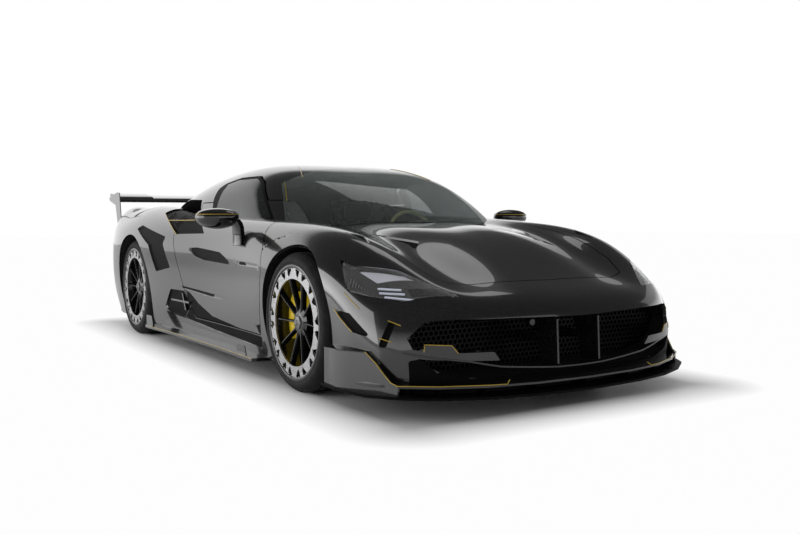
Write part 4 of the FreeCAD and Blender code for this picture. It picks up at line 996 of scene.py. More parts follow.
# Paint, and the near black of trim and painted shade
PAINT_AND_DARK_TRIM_AND_SHADE = ("paint", "dark_trim_and_shade")
WING_SEAM = -900
CLEAR_OF_LID, CLEAR_OF_DOORS = outside(LID_FIELD, GAP), outside(DOOR_FIELD, GAP)
CLEAR_OF_COVER = outside(COVER_CLEAR, GAP)
FINE = 0.012                 # step and thickness of a small panel
# Panels fixed to the body: name, node, skin, the fields that they lie in, and their sunk fields, each with
# its depth and the tags of its wall and floor. A step and a thickness may follow
# A tag of 1 takes the near black finish, which paints shade into the sunk vents, slots, gills and ducts
FIXED_PANELS = (
    ("front_bumper", "bumper_front", BODY,
     [along_field(BUMPER_SEAM, True), CLEAR_OF_LID, outside(GRILLE_FIELD), outside(LAMP_FIELD),
      outside_arches],
     [(SLOT_FIELDS[0], RECESS, 0, 1), (SLOT_FIELDS[1], RECESS, 0, 1), (WING_VENT_FIELD, RECESS, 0, 1),
      (CHIN_FIELD, INLAY, 1, 1)]),
    ("mouth_flaps", None, BODY, [GRILLE_FIELD, facing_field(FLAP_OUTLINE, (1, 0.4, 0))], [], FINE, FINE),
    ("front_wings", "fenders", BODY,
     [along_field(BUMPER_SEAM, False), along_field(WING_SEAM, True), CLEAR_OF_LID, CLEAR_OF_DOORS,
      outside(SILL_FIELD), outside_arches, ABOVE_CABIN],
     [(WING_VENT_FIELD, RECESS, 0, 1), (LOUVRE_FIELD, INLAY, 0, 1)]),
    ("rear_quarter_panels", "rear_quarters", BODY,
     [along_field(WING_SEAM, False), along_field(REAR_SEAM, True), CLEAR_OF_COVER, CLEAR_OF_DOORS,
      outside(SILL_FIELD), outside_arches, ABOVE_CABIN],
     [(GILL_FIELD, RECESS, 0, 1), (SHOULDER_FIELD, RECESS, 1, 1), (GROOVE_FIELD, INLAY, 0, 1)]),
    ("skirt_panels", "side_skirts", BODY, [SILL_FIELD, CLEAR_OF_DOORS, outside_arches],
     [(DUCT_FIELD, RECESS, 0, 1), (SWOOSH_FIELD, INLAY, 0, 1)]),
    ("rear_bumper", "bumper_rear", BODY,
     [along_field(REAR_SEAM, False), CLEAR_OF_COVER, outside(TAIL_FIELD), outside(pipe_holes),
      outside(under_tail), outside_arches, ABOVE_CABIN], []),
    ("roof_panel", "roof", CABIN,
     [ABOVE_BODY, outside(SCREEN_FIELD), outside(WINDOW_FIELD, GAP), outside(SCOOP_FIELD), CLEAR_OF_COVER,
      CLEAR_OF_DOORS], []),
)
# The door's sunk floors take the near black finish too; on the shoulder it is painted shade
DOOR_SINKS = [(SLASH_FIELD, RECESS, 0, 1), (SHOULDER_FIELD, RECESS, 1, 1), (GROOVE_FIELD, INLAY, 0, 1),
              (FRONT_SLASH_FIELD, INLAY, 0, 1), (STEP_FIELD, INLAY, 0, 1), (SWOOSH_FIELD, INLAY, 0, 1)]
GLASS_FOOT = 0.775           # height that the side glass runs down to
GLASS_BORDER, SCREEN_BORDER = 0.011, 0.026


def build_panels():
    # The bonnet's vents take the near black finish in their floors: painted shade
    lid = panel_part(BODY, [LID_FIELD, ABOVE_CABIN], [(VENT_FIELD, RECESS, 0, 1)])
    panel("bonnet", lid, PAINT_AND_DARK_TRIM_AND_SHADE, "front_lid", "front_lid")
    for name, node, skin, fields, sinks, *sizes in FIXED_PANELS:
        part = panel_part(skin, fields, sinks, *sizes)
        panel(name, part, PAINT_AND_DARK_TRIM_AND_SHADE if sinks else PAINT_AND_DARK_TRIM_AND_SHADE[:1], node)
    cover = merged(panel_part(CABIN, [COVER_FIELD, ABOVE_BODY]), panel_part(BODY, [COVER_FIELD, ABOVE_CABIN]))
    panel("engine_lid", cover, PAINT_AND_DARK_TRIM_AND_SHADE[:1], "engine_cover", "engine_cover")
    screen = panel_part(CABIN, [SCREEN_FIELD, ABOVE_BODY], rim=0.006)
    panel("windscreen_glass", screen, ("screen",), "windscreen")
    border = Sheet(CABIN, [SCREEN_FIELD, outside(inside(SCREEN_FIELD, SCREEN_BORDER)), ABOVE_BODY], 0.03)
    panel("screen_border", sheet_data(border, [level(0.0068)]), ("dark_trim_and_shade",))
    glass = panel_part(CABIN, [WINDOW_FIELD, left_only, lambda p: GLASS_FOOT - p[:, 2]],
                       [(outside(inside(WINDOW_FIELD, GLASS_BORDER)), 0.0005, 1, 1),
                        (PILLAR_FIELD, 0.0005, 1, 1)],
                       rim=0.006)
    door = merged(panel_part(BODY, [DOOR_FIELD, ABOVE_CABIN, left_only], DOOR_SINKS),
                  panel_part(CABIN, [DOOR_FIELD, ABOVE_BODY, outside(WINDOW_FIELD), left_only]))
    for name, side in SIDES:
        body = f"door_{name}"
        panel(f"door_skin_{name}", door if side > 0 else flipped(door), PAINT_AND_DARK_TRIM_AND_SHADE, body, body)
        panel(f"side_window_{name}", glass if side > 0 else flipped(glass), ("side_glass", "dark_trim_and_shade"),
              f"door_glass_{name}", body)


# Plain solids
def both(half):
    """The whole of an outline that is given from the middle outwards."""
    return list(half) + [(a, -b) for a, b in half[::-1] if abs(b) > 1e-9]


def both_front(half):
    return list(half) + [(-a, b) for a, b in half[::-1] if abs(a) > 1e-9]


def prism(outline, plane, low, high):
    """Points and faces of an outline's slab. Outline and levels are in millimetres from the front axle."""
    points = []
    for c in (low, high):
        for a, b in outline:
            spot = {"side": (a, c, b), "plan": (a, b, c), "front": (c, a, b)}[plane]
            points.append((AXLE + spot[0] / 1000, spot[1] / 1000, spot[2] / 1000))
    n = len(outline)
    faces = [list(range(n))[::-1], list(range(n, 2 * n))]
    faces += [[i, (i + 1) % n, n + (i + 1) % n, n + i] for i in range(n)]
    return np.array(points), faces


def brick(x0, x1, y0, y1, z0, z1):
    return prism([(x0, y0), (x1, y0), (x1, y1), (x0, y1)], "plan", z0, z1)


def other_side(shape):
    return shape[0] * np.array([1, -1, 1]), shape[1]


def pair(*shapes):
    """Shapes and the same on the car's other side."""
    return [*shapes, *map(other_side, shapes)]


def lathe(profile, steps=96, start=0.0, turn=2 * math.pi):
    """Turned about the Y axis from (radius, along) points. A part turn gets end faces."""
    whole = abs(turn - 2 * math.pi) < 1e-6
    angles = start + np.linspace(0, turn, steps + 1)[:steps if whole else steps + 1]
    radii, places = np.array([p[0] for p in profile]), np.array([p[1] for p in profile])
    points = np.stack([np.outer(np.cos(angles), radii), np.tile(places, (len(angles), 1)),
                       np.outer(np.sin(angles), radii)], -1).reshape(-1, 3)
    n, count = len(profile), len(angles)
    faces = []
    for i in range(count if whole else count - 1):
        for j in range(n):
            faces.append([i * n + j, i * n + (j + 1) % n, (i + 1) % count * n + (j + 1) % n,
                          (i + 1) % count * n + j])
    if not whole:
        faces += [list(range(n)), list(range((count - 1) * n, count * n))[::-1]]
    return points, faces


def along_x(shape, x=0.0, y=0.0, z=0.0):
    """A turned form laid along the car, with its start at a place."""
    points, faces = shape
    return np.stack([points[:, 1] + x, points[:, 0] + y, points[:, 2] + z], -1), faces


def along_z(shape):
    points, faces = shape
    return np.stack([points[:, 0], points[:, 2], -points[:, 1]], -1), faces


def loft(rings):
    """A closed form through rings of points, all of one count."""
    n = len(rings[0])
    faces = [list(range(n))[::-1], list(range((len(rings) - 1) * n, len(rings) * n))]
    for k in range(len(rings) - 1):
        faces += [[k * n + i, k * n + (i + 1) % n, (k + 1) * n + (i + 1) % n,
                   (k + 1) * n + i] for i in range(n)]
    return np.concatenate([np.array(r, float) for r in rings]), faces


def solid(name, shapes, finish, bevel=0.0, segments=2, round_angle=40):
    """One object from closed shapes, faces outwards, with fine rounded edges."""
    mesh = bpy.data.meshes.new(name)
    points, faces, count = [], [], 0
    for shape in shapes:
        points += np.asarray(shape[0]).tolist()
        faces += [[int(v) + count for v in f] for f in shape[1]]
        count = len(points)
    mesh.from_pydata(points, [], faces)
    work = bmesh.new()
    work.from_mesh(mesh)
    bmesh.ops.remove_doubles(work, verts=work.verts, dist=1e-6)
    bmesh.ops.dissolve_degenerate(work, edges=work.edges, dist=1e-7)
    bmesh.ops.recalc_face_normals(work, faces=work.faces)
    work.to_mesh(mesh)
    work.free()
    mesh.materials.append(FINISH[finish])
    mesh.polygons.foreach_set("use_smooth", np.ones(len(mesh.polygons), bool))
    mesh.set_sharp_from_angle(angle=math.radians(round_angle))
    obj = placed(name, mesh)
    if bevel:
        edge = obj.modifiers.new("Rounded edges", "BEVEL")
        edge.width, edge.segments = bevel, segments
        edge.limit_method, edge.angle_limit = "ANGLE", math.radians(round_angle)
        edge.harden_normals = True
    return obj


def fixed(name, shapes, finish, slot, *rounding, node=None, **angle):
    """Closed shapes as one piece that rides on the car's body."""
    return dress(solid(name, shapes, finish, *rounding, **angle), "body", node)


def plain_mesh(obj):
    """The object with its modifiers or curve turned into a plain mesh at the origin."""
    graph = bpy.context.evaluated_depsgraph_get()
    graph.update()
    mesh = bpy.data.meshes.new_from_object(obj.evaluated_get(graph))
    name = obj.name
    bpy.data.objects.remove(obj)
    made = placed(name, mesh)
    made.name = name
    return made


def refinished(obj, finish):
    obj.data.materials.clear()
    obj.data.materials.append(FINISH[finish])
    return obj


def add_lines(curve, runs, closed):
    for run in runs:
        line = curve.splines.new("POLY")
        line.points.add(len(run) - 1)
        line.use_cyclic_u = closed
        for point, spot in zip(line.points, run):
            point.co = (*spot, 1)


def wire(name, runs, radius, finish):
    """A thin round trim along one or more runs of points, in metres."""
    curve = bpy.data.curves.new(name, "CURVE")
    curve.dimensions = "3D"
    curve.bevel_depth, curve.bevel_resolution, curve.use_fill_caps = radius, 2, True
    add_lines(curve, runs, False)
    return refinished(plain_mesh(placed(name, curve)), finish)


def lined(name, runs, radius, finish):
    """Thin round trim that rides on the car's body."""
    return dress(wire(name, runs, radius, finish), "body")


def cut_plate(name, outlines, depth, finish, bevel=0.0):
    """A flat plate in the XY plane from an outline with holes, both sides of Z = 0."""
    curve = bpy.data.curves.new(name, "CURVE")
    curve.dimensions, curve.fill_mode = "2D", "BOTH"
    curve.extrude = depth / 2 - bevel
    curve.bevel_depth, curve.bevel_resolution, curve.offset = bevel, 1, -bevel
    add_lines(curve, [[(a, b, 0) for a, b in outline] for outline in outlines], True)
    return refinished(plain_mesh(placed(name, curve)), finish)


def circle(radius, steps, centre=(0, 0)):
    return [(centre[0] + radius * math.cos(2 * math.pi * k / steps),
             centre[1] + radius * math.sin(2 * math.pi * k / steps)) for k in range(steps)]


UPRIGHT = Matrix(((1, 0, 0, 0), (0, 0, 1, 0), (0, 1, 0, 0), (0, 0, 0, 1)))     # a plate's Z becomes Y


def stood_up(plate, y):
    """A flat plate stood across an axle, at a place along it."""
    plate.data.transform(Matrix.Translation((0, y, 0)) @ UPRIGHT)
    plate.data.flip_normals()
    return plate


# Repeats
def repeat_tree(name, sockets, build):
    """A Geometry Nodes tree with named inputs, ending in real meshes with a finish."""
    tree = bpy.data.node_groups.new(name, "GeometryNodeTree")
    for label, kind in (("Geometry", "NodeSocketGeometry"), *sockets, ("Finish", "NodeSocketMaterial")):
        tree.interface.new_socket(name=label, in_out="INPUT", socket_type=kind)
    tree.interface.new_socket(name="Geometry", in_out="OUTPUT", socket_type="NodeSocketGeometry")
    start, end = tree.nodes.new("NodeGroupInput"), tree.nodes.new("NodeGroupOutput")

    def node(kind, settings=None, inputs=None, output=0):
        return add_node(tree, kind, settings, inputs).outputs[output]

    instances = build(node, start.outputs)
    real = node("GeometryNodeRealizeInstances", inputs={"Geometry": instances})
    done = node("GeometryNodeSetMaterial", inputs={"Geometry": real, "Material": start.outputs["Finish"]})
    tree.links.new(done, end.inputs["Geometry"])
    return tree


def round_build(node, given):
    count = node("GeometryNodePoints", inputs={"Count": given["Count"]})
    step = node("ShaderNodeMath", {"operation": "DIVIDE"}, {0: 2 * math.pi, 1: given["Count"]})
    turn = node("ShaderNodeMath", {"operation": "MULTIPLY_ADD"},
                {0: node("GeometryNodeInputIndex"), 1: step, 2: given["First angle"]})
    euler = node("ShaderNodeCombineXYZ", inputs={"Y": turn})
    return node("GeometryNodeInstanceOnPoints",
                inputs={"Points": count, "Instance": given["Geometry"], "Rotation": euler})


def row_build(node, given):
    count = node("GeometryNodePoints", inputs={"Count": given["Count"]})
    shift = node("ShaderNodeVectorMath", {"operation": "SCALE"},
                 {0: given["Step"], "Scale": node("GeometryNodeInputIndex")})
    row = node("GeometryNodeSetPosition", inputs={"Geometry": count, "Offset": shift})
    return node("GeometryNodeInstanceOnPoints", inputs={"Points": row, "Instance": given["Geometry"]})


def spot_build(node, given):
    piece = node("GeometryNodeObjectInfo", {"transform_space": "ORIGINAL"}, {"Object": given["Piece"]},
                 "Geometry")
    return node("GeometryNodeInstanceOnPoints", inputs={"Points": given["Geometry"], "Instance": piece})


TREES = {}


def build_trees():
    TREES["round"] = repeat_tree("Round an axle",
                                 (("Count", "NodeSocketInt"), ("First angle", "NodeSocketFloat")),
                                 round_build)
    TREES["row"] = repeat_tree("In a row", (("Count", "NodeSocketInt"), ("Step", "NodeSocketVector")),
                               row_build)
    TREES["spots"] = repeat_tree("On spots", (("Piece", "NodeSocketObject"),), spot_build)


def repeated(obj, tree_name, finish, **values):
    """The object repeated by a tree, as a plain mesh."""
    tree = TREES[tree_name]
    change = obj.modifiers.new("Repeat", "NODES")
    change.node_group = tree
    values = {key.replace("_", " "): value for key, value in values.items()}
    values["Finish"] = FINISH[finish]
    for item in tree.interface.items_tree:
        if item.in_out == "INPUT" and item.name in values:
            change[item.identifier] = values[item.name]
    obj.update_tag()
    return plain_mesh(obj)


def on_spots(name, spots, piece, finish):
    mesh = bpy.data.meshes.new(name)
    mesh.from_pydata([tuple(map(float, s)) for s in spots], [], [])
    made = repeated(placed(name, mesh), "spots", finish, Piece=piece)
    bpy.data.objects.remove(piece)
    return made


# Wheels and brakes
FACE_IN = 0.005
DISC_IN = 0.05
RIM_RADIUS, BEAD_RADIUS = 0.279, 0.266
SPOKES = 10
DISC_RADII = {"front": 0.199, "rear": 0.185}


def tyre_profile(radius, half, grooves):
    outer = [(BEAD_RADIUS, half - 0.014), (0.274, half - 0.007), (0.283, half - 0.004),
             (0.291, half - 0.0035), (0.295, half - 0.001), (0.303, half - 0.0005),
             (radius - 0.032, half - 0.001), (radius - 0.022, half - 0.0075), (radius - 0.013, half - 0.0175),
             (radius - 0.006, half - 0.028), (radius - 0.0012, half - 0.036), (radius, half - 0.044)]
    tread = []
    for g in grooves:
        tread += [(radius, g + 0.005), (radius - 0.007, g + 0.004), (radius - 0.007, g - 0.004),
                  (radius, g - 0.005)]
    return outer + tread + [(r, -y) for r, y in outer[::-1]]


def spoke_shape(face):
    """A slim spoke with a raised middle line, wider where it meets the ring."""
    rings = []
    for r, width, top, bottom in ((0.044, 0.0105, 0.03, 0.06), (0.075, 0.007, 0.027, 0.058),
                                  (0.12, 0.0052, 0.022, 0.053), (0.18, 0.005, 0.0155, 0.047),
                                  (0.232, 0.007, 0.01, 0.041), (0.259, 0.015, 0.0085, 0.038)):
        rings.append([(r, face - bottom, -width * 0.7), (r, face - bottom, width * 0.7),
                      (r, face - top - 0.006, width), (r, face - top, width * 0.3),
                      (r, face - top, -width * 0.3), (r, face - top - 0.006, -width)])
    return loft(rings)


def ring_outlines():
    outlines = [circle(BEAD_RADIUS, 120), circle(RIM_RADIUS - 0.066, 120)[::-1]]
    for k in range(SPOKES * 2):
        a = 2 * math.pi * (k + 0.5) / (SPOKES * 2)
        lean = 0.01 if k % 2 else -0.01
        u, v = np.array([math.cos(a), math.sin(a)]), np.array([-math.sin(a), math.cos(a)])
        outlines.append([tuple(u * r + v * w) for r, w in
                         ((0.2615, -0.025 + lean * 0.3), (0.2615, 0.025 + lean * 0.3), (0.24, 0.014 + lean),
                          (0.224, 0.004 + lean), (0.236, -0.01 + lean))])
    return outlines


def drilled_outlines(radius):
    outlines = [circle(radius, 96), circle(0.074, 48)]
    for k in range(12):
        for j, r in enumerate(np.linspace(0.098, radius - 0.014, 5)):
            a = 2 * math.pi * (k + j * 0.17) / 12
            outlines.append(circle(0.0042, 8, (r * math.cos(a), r * math.sin(a))))
    return outlines


def caliper_shapes(disc_radius, towards):
    """The two halves and the bridge, round the disc's edge in front of or behind the axle."""
    inner, outer = disc_radius - 0.06, disc_radius + 0.022
    shapes = []
    low, high = (-0.66, 0.5) if towards > 0 else (math.pi - 0.66, math.pi + 0.5)
    for y0, y1 in ((0.02, 0.098), (-0.04, -0.02)):
        shapes.append(lathe([(inner, y0), (inner, y1 - 0.006), (inner + 0.01, y1), (outer - 0.016, y1),
                             (outer, y1 - 0.01), (outer, y0)], 22, low, high - low))
    for a0, a1 in ((0.0, 0.16), (0.42, 0.58), (0.84, 1.0)):
        start = low + (high - low) * a0
        shapes.append(lathe([(disc_radius + 0.006, -0.021), (disc_radius + 0.006, 0.021),
                             (outer - 0.001, 0.021), (outer - 0.001, -0.021)], 6, start,
                            (high - low) * (a1 - a0)))
    for share in (0.22, 0.5, 0.78):
        a = low + (high - low) * share
        points, faces = lathe([(0.0, 0.086), (0.018, 0.086), (0.018, 0.1005), (0.014, 0.1025), (0.0, 0.1025)],
                              20)
        shapes.append((points + np.array([math.cos(a), 0, math.sin(a)]) * (disc_radius - 0.026), faces))
    return [(points - np.array([0, DISC_IN, 0]), faces) for points, faces in shapes]


def set_at(obj, hub, side):
    obj.data.transform(Matrix.Translation(hub) @ Matrix.Diagonal((1, side, 1, 1)))
    if side < 0:
        obj.data.flip_normals()
    obj.data.update()
    return obj


FRONT_GROOVES, REAR_GROOVES = (0.066, 0.022, -0.022, -0.066), (0.088, 0.03, -0.03, -0.088)
TREAD_BLOCKS = 72
# Rows of a tread block's corners: how far in from the tyre's side, and how far under the tread
BLOCK_ROWS = ((0.05, 0.0), (0.036, 0.0014), (0.022, 0.0085))
BLOCK_SINK = 0.0014


def build_wheel(axle, name, side):
    corner = f"{axle}_{name}"
    tyre_low, tyre_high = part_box(f"tyre_{corner}")
    hub = (tyre_low + tyre_high) / 2
    radius, half = (tyre_high.z - tyre_low.z) / 2, (tyre_high.y - tyre_low.y) / 2
    face = half - FACE_IN

    def put(obj, node=None, carrier=f"wheel_{corner}"):
        dress(set_at(obj, hub, side), carrier, node)

    def turned(profile, steps):
        """A lathe's form from (radius, depth behind the wheel's face) points."""
        return lathe([(r, face - depth) for r, depth in profile], steps)

    grooves = FRONT_GROOVES if axle == "front" else REAR_GROOVES
    tyre = solid(f"tyre_carcass_{corner}", [lathe(tyre_profile(radius, half, grooves), 112)], "tyre",
                 round_angle=50)
    put(tyre, f"tyre_{corner}")
    block = []
    for inwards, drop in BLOCK_ROWS:
        low, high = radius - 0.014 + BLOCK_SINK, radius - 0.0015 - drop + BLOCK_SINK
        block.append([(low, half - inwards, -0.009), (high, half - inwards, -0.009),
                      (high, half - inwards, 0.009), (low, half - inwards, 0.009)])
    blocks = solid(f"tread_blocks_{corner}", pair(loft(block)), "tyre")
    put(repeated(blocks, "round", "tyre", Count=TREAD_BLOCKS, First_angle=0.0))
    barrel = lathe([(BEAD_RADIUS, -half + 0.014), (RIM_RADIUS, -half + 0.0035), (RIM_RADIUS, -half + 0.001),
                    (RIM_RADIUS - 0.011, -half + 0.001), (RIM_RADIUS - 0.02, -half + 0.02),
                    (RIM_RADIUS - 0.022, half - 0.02), (RIM_RADIUS - 0.012, half - 0.004),
                    (RIM_RADIUS - 0.009, half - 0.0012), (RIM_RADIUS - 0.002, half - 0.001),
                    (RIM_RADIUS + 0.004, half - 0.003), (BEAD_RADIUS, half - 0.014)], 112)
    centre = turned([(0, 0.062), (0, 0.026), (0.04, 0.026), (0.048, 0.028), (0.058, 0.033), (0.071, 0.038),
                     (0.072, 0.062)], 64)
    put(solid(f"rim_barrel_{corner}", [barrel, centre], "wheel", round_angle=50), f"rim_{corner}")
    spokes = solid(f"spokes_{corner}", [spoke_shape(face)], "wheel")
    put(repeated(spokes, "round", "wheel", Count=SPOKES, First_angle=0.0))
    put(stood_up(cut_plate(f"aero_ring_{corner}", ring_outlines(), 0.009, "ring", 0.0012), face - 0.0048))
    nut = turned([(0, 0.03), (0, 0.014), (0.016, 0.014), (0.021, 0.016), (0.034, 0.02), (0.036, 0.03)], 6)
    cap = turned([(0, 0.014), (0, 0.0105), (0.012, 0.0105), (0.015, 0.014)], 32)
    put(solid(f"centre_nut_{corner}", [nut, cap], "alloy", 0.0008))
    stud_points, stud_faces = lathe([(0, 0), (0, 0.006), (0.0035, 0.006), (0.0045, 0.004), (0.0045, 0)], 6)
    stud_points = stud_points + np.array([0.2605, face - 0.001, 0])
    studs = solid(f"ring_bolts_{corner}", [(stud_points, stud_faces)], "steel")
    put(repeated(studs, "round", "steel", Count=SPOKES * 2, First_angle=math.pi / SPOKES / 2))
    disc_radius = DISC_RADII[axle]
    disc = cut_plate(f"brake_disc_{corner}", drilled_outlines(disc_radius), 0.032, "disc", 0.001)
    put(stood_up(disc, -DISC_IN), f"disc_{corner}")
    bell = lathe([(0, -DISC_IN - 0.016), (0, face - 0.063), (0.06, face - 0.063), (0.07, face - 0.07),
                  (0.0755, -DISC_IN + 0.017), (0.0755, -DISC_IN - 0.016)], 48)
    put(solid(f"disc_bell_{corner}", [bell], "steel", round_angle=50))
    caliper = caliper_shapes(disc_radius, -1 if axle == "front" else 1)
    caliper = solid(f"brake_caliper_{corner}", caliper, "caliper", 0.002, round_angle=35)
    if axle == "front":
        put(caliper, f"caliper_front_{name}", f"knuckle_{name}")
    else:
        put(caliper, "rear_calipers", "body")


def build_wheels():
    for axle in ("front", "rear"):
        for name, side in SIDES:
            build_wheel(axle, name, side)


# Nose
SPLITTER = both([(1092, 0), (1075, 300), (1030, 520), (955, 700), (850, 850), (700, 955), (480, 985),
                 (345, 975), (345, 900), (300, 560), (300, 0)])
SPLITTER_LIP = both([(1050, 0), (1035, 290), (990, 520), (905, 715), (800, 850), (660, 930), (480, 955),
                     (330, 950), (330, 880), (430, 700), (700, 480), (900, 0)])
FENCE_TOP = [(362, 966, 272), (490, 975, 278), (570, 948, 280), (647, 919, 281), (700, 898, 238),
             (741, 883, 195), (775, 869, 162), (806, 857, 150)]
FENCE_SKIN = [(362, 935, 286), (490, 930, 290), (570, 925, 290), (647, 900, 284), (698, 872, 236)]
POSTS = ((0, 990), (280, 975), (520, 925), (700, 860), (850, 750))
LEDGE = [(994, 0, 197), (988, 128, 199), (963, 432, 222), (929, 579, 252), (858, 730, 272), (780, 818, 288)]
GOLD_RUNS = {
    "dive_pinstripe": [(480, 927, 522), (578, 907, 459)],
    "teardrop_pinstripe": [(420, 944, 446), (461, 940, 414), (551, 927, 356)],
    "vane_pinstripe_upper": [(712, 843, 415), (761, 811, 397)],
    "vane_pinstripe_lower": [(690, 875, 341), (742, 843, 327)],
    "flap_pinstripe": [(844, 749, 290), (845, 746, 321), (904, 649, 317), (914, 624, 284)],
}
SHOULDER_RUNS = {
    "shoulder_pinstripe": [(-2235, 852, 888), (-1995, 900, 827), (-1774, 926, 749)],
    "shoulder_bar": [(-2029, 893, 838), (-1843, 875, 837), (-1617, 854, 839)],
}


def metres(points):
    return [(AXLE + x / 1000, y / 1000, z / 1000) for x, y, z in points]


def mirrored_run(run):
    return [(x, -y, z) for x, y, z in run]


def nearest(skin, targets):
    """Places on a skin that lie nearest to some points."""
    us, vs = np.linspace(0, 1, 420), np.linspace(0, 1, 340)
    flat = skin.grid(us, vs).reshape(-1, 3)
    uv = []
    for target in targets:
        k = int(np.argmin(((flat - target) ** 2).sum(1)))
        uv.append((us[k // len(vs)], vs[k % len(vs)]))
    uv, step = np.array(uv), 1e-4
    for _ in range(6):
        p = skin.at(uv)
        du = (skin.at(np.clip(uv + [step, 0], 0, 1)) - p) / step
        dv = (skin.at(np.clip(uv + [0, step], 0, 1)) - p) / step
        a, b, c = (du * du).sum(1), (du * dv).sum(1), (dv * dv).sum(1)
        g, h = (du * (targets - p)).sum(1), (dv * (targets - p)).sum(1)
        det = a * c - b * b + 1e-12
        uv = np.clip(uv + np.stack([(c * g - b * h) / det, (a * h - b * g) / det], 1), 0, 1)
    return uv


def skin_run(skin, points, off=0.001, step=0.02):
    """A run of points that follows a skin, from corners in millimetres."""
    corners = metres(points)
    targets = []
    for a, b in zip(corners, corners[1:]):
        count = max(1, int(math.dist(a, b) / step))
        targets += [np.array(a) + (np.array(b) - np.array(a)) * k / count for k in range(count)]
    targets = np.array(targets + [corners[-1]])
    uv = nearest(skin, targets)
    return skin.at(uv) + skin.normal(uv) * off


def pinstripes(runs, skin, radius=0.0022):
    for name, points in runs.items():
        run = skin_run(skin, points).tolist()
        lined(name, [run, mirrored_run(run)], radius, "gold")


def strip_shape(outer, inner, thick=0.006):
    """A thin closed strip between two runs of points."""
    drop = np.array([0, 0, thick])
    rings = [[a, b, b - drop, a - drop] for a, b in zip(np.array(outer), np.array(inner))]
    return loft(rings)


def build_nose():
    # The splitter's plate takes the near black finish as a painted shadow under the lip
    plate = solid("splitter_plate", [prism(SPLITTER, "plan", 97, 109.5)], "dark_trim_and_shade", 0.002)
    dress(plate, "body", "splitter")
    lip = solid("splitter_lip", [prism(SPLITTER_LIP, "plan", 138, 149.5)], "trim", 0.002)
    dress(lip, "body")
    posts = []
    for y, x in POSTS:
        post = brick(x - 60, x + 40, y - 4, y + 4, 109, 139)
        posts += [post] if y == 0 else pair(post)
    # The posts take the painted shadow finish, for the shade between plate and lip
    fixed("splitter_posts", posts, "painted_shadow", "aero", 0.001)
    top = metres(FENCE_TOP)
    fence = loft([[(x, y, z), (x, y - 0.01, z), (x, y - 0.01, 0.109), (x, y, 0.109)] for x, y, z in top])
    skin_side = nearest(BODY, np.array(metres(FENCE_SKIN)))
    skin_side = BODY.at(skin_side) - BODY.normal(skin_side) * 0.003
    filler = strip_shape(top[:len(FENCE_SKIN)], skin_side)
    fences = solid("splitter_fences", pair(fence, filler), "paint", 0.0015)
    dress(fences, "body")
    edge = metres([(x, y + 1, z) for x, y, z in FENCE_TOP[3:-1]]
                  + [(809, 859, 152), (908, 716, 151), (993, 520, 151), (1014, 440, 151), (1004, 420, 166)])
    lined("splitter_pinstripe", [edge, mirrored_run(edge)], 0.0022, "gold")
    upper = skin_run(BODY, LEDGE, 0.0015, 0.03)
    ledge = strip_shape(upper, upper - np.array([0.045, 0, 0]), 0.009)
    fixed("mouth_ledge", pair(ledge), "trim", "aero", 0.002)
    pinstripes(GOLD_RUNS, BODY)
    build_mouth()
    build_lamps()


def reach_over(skin, flat, along):
    """Furthest place of a skin along one axis, over a grid of the two others."""
    p = skin.grid(np.linspace(0, 1, 1200), np.linspace(0, 1, 900)).reshape(-1, 3)
    cell = 0.012
    low = p[:, flat].min(0) - 2 * cell
    size = ((p[:, flat].max(0) - low) / cell).astype(int) + 4
    chart = np.full(size, -99.0)
    cells = ((p[:, flat] - low) / cell).round().astype(int)
    np.maximum.at(chart, (cells[:, 0], cells[:, 1]), p[:, along])

    def at(a, b):
        i, j = int(round((a - low[0]) / cell)), int(round((b - low[1]) / cell))
        return float(chart[i - 1:i + 2, j - 1:j + 2].max())
    return at


def dense(outline, step):
    """A closed outline with points about a step apart."""
    points = []
    for a, b in zip(outline, outline[1:] + outline[:1]):
        count = max(1, int(math.dist(a, b) / step))
        points += [(a[0] + (b[0] - a[0]) * k / count, a[1] + (b[1] - a[1]) * k / count) for k in range(count)]
    return points


MESH_X = 715


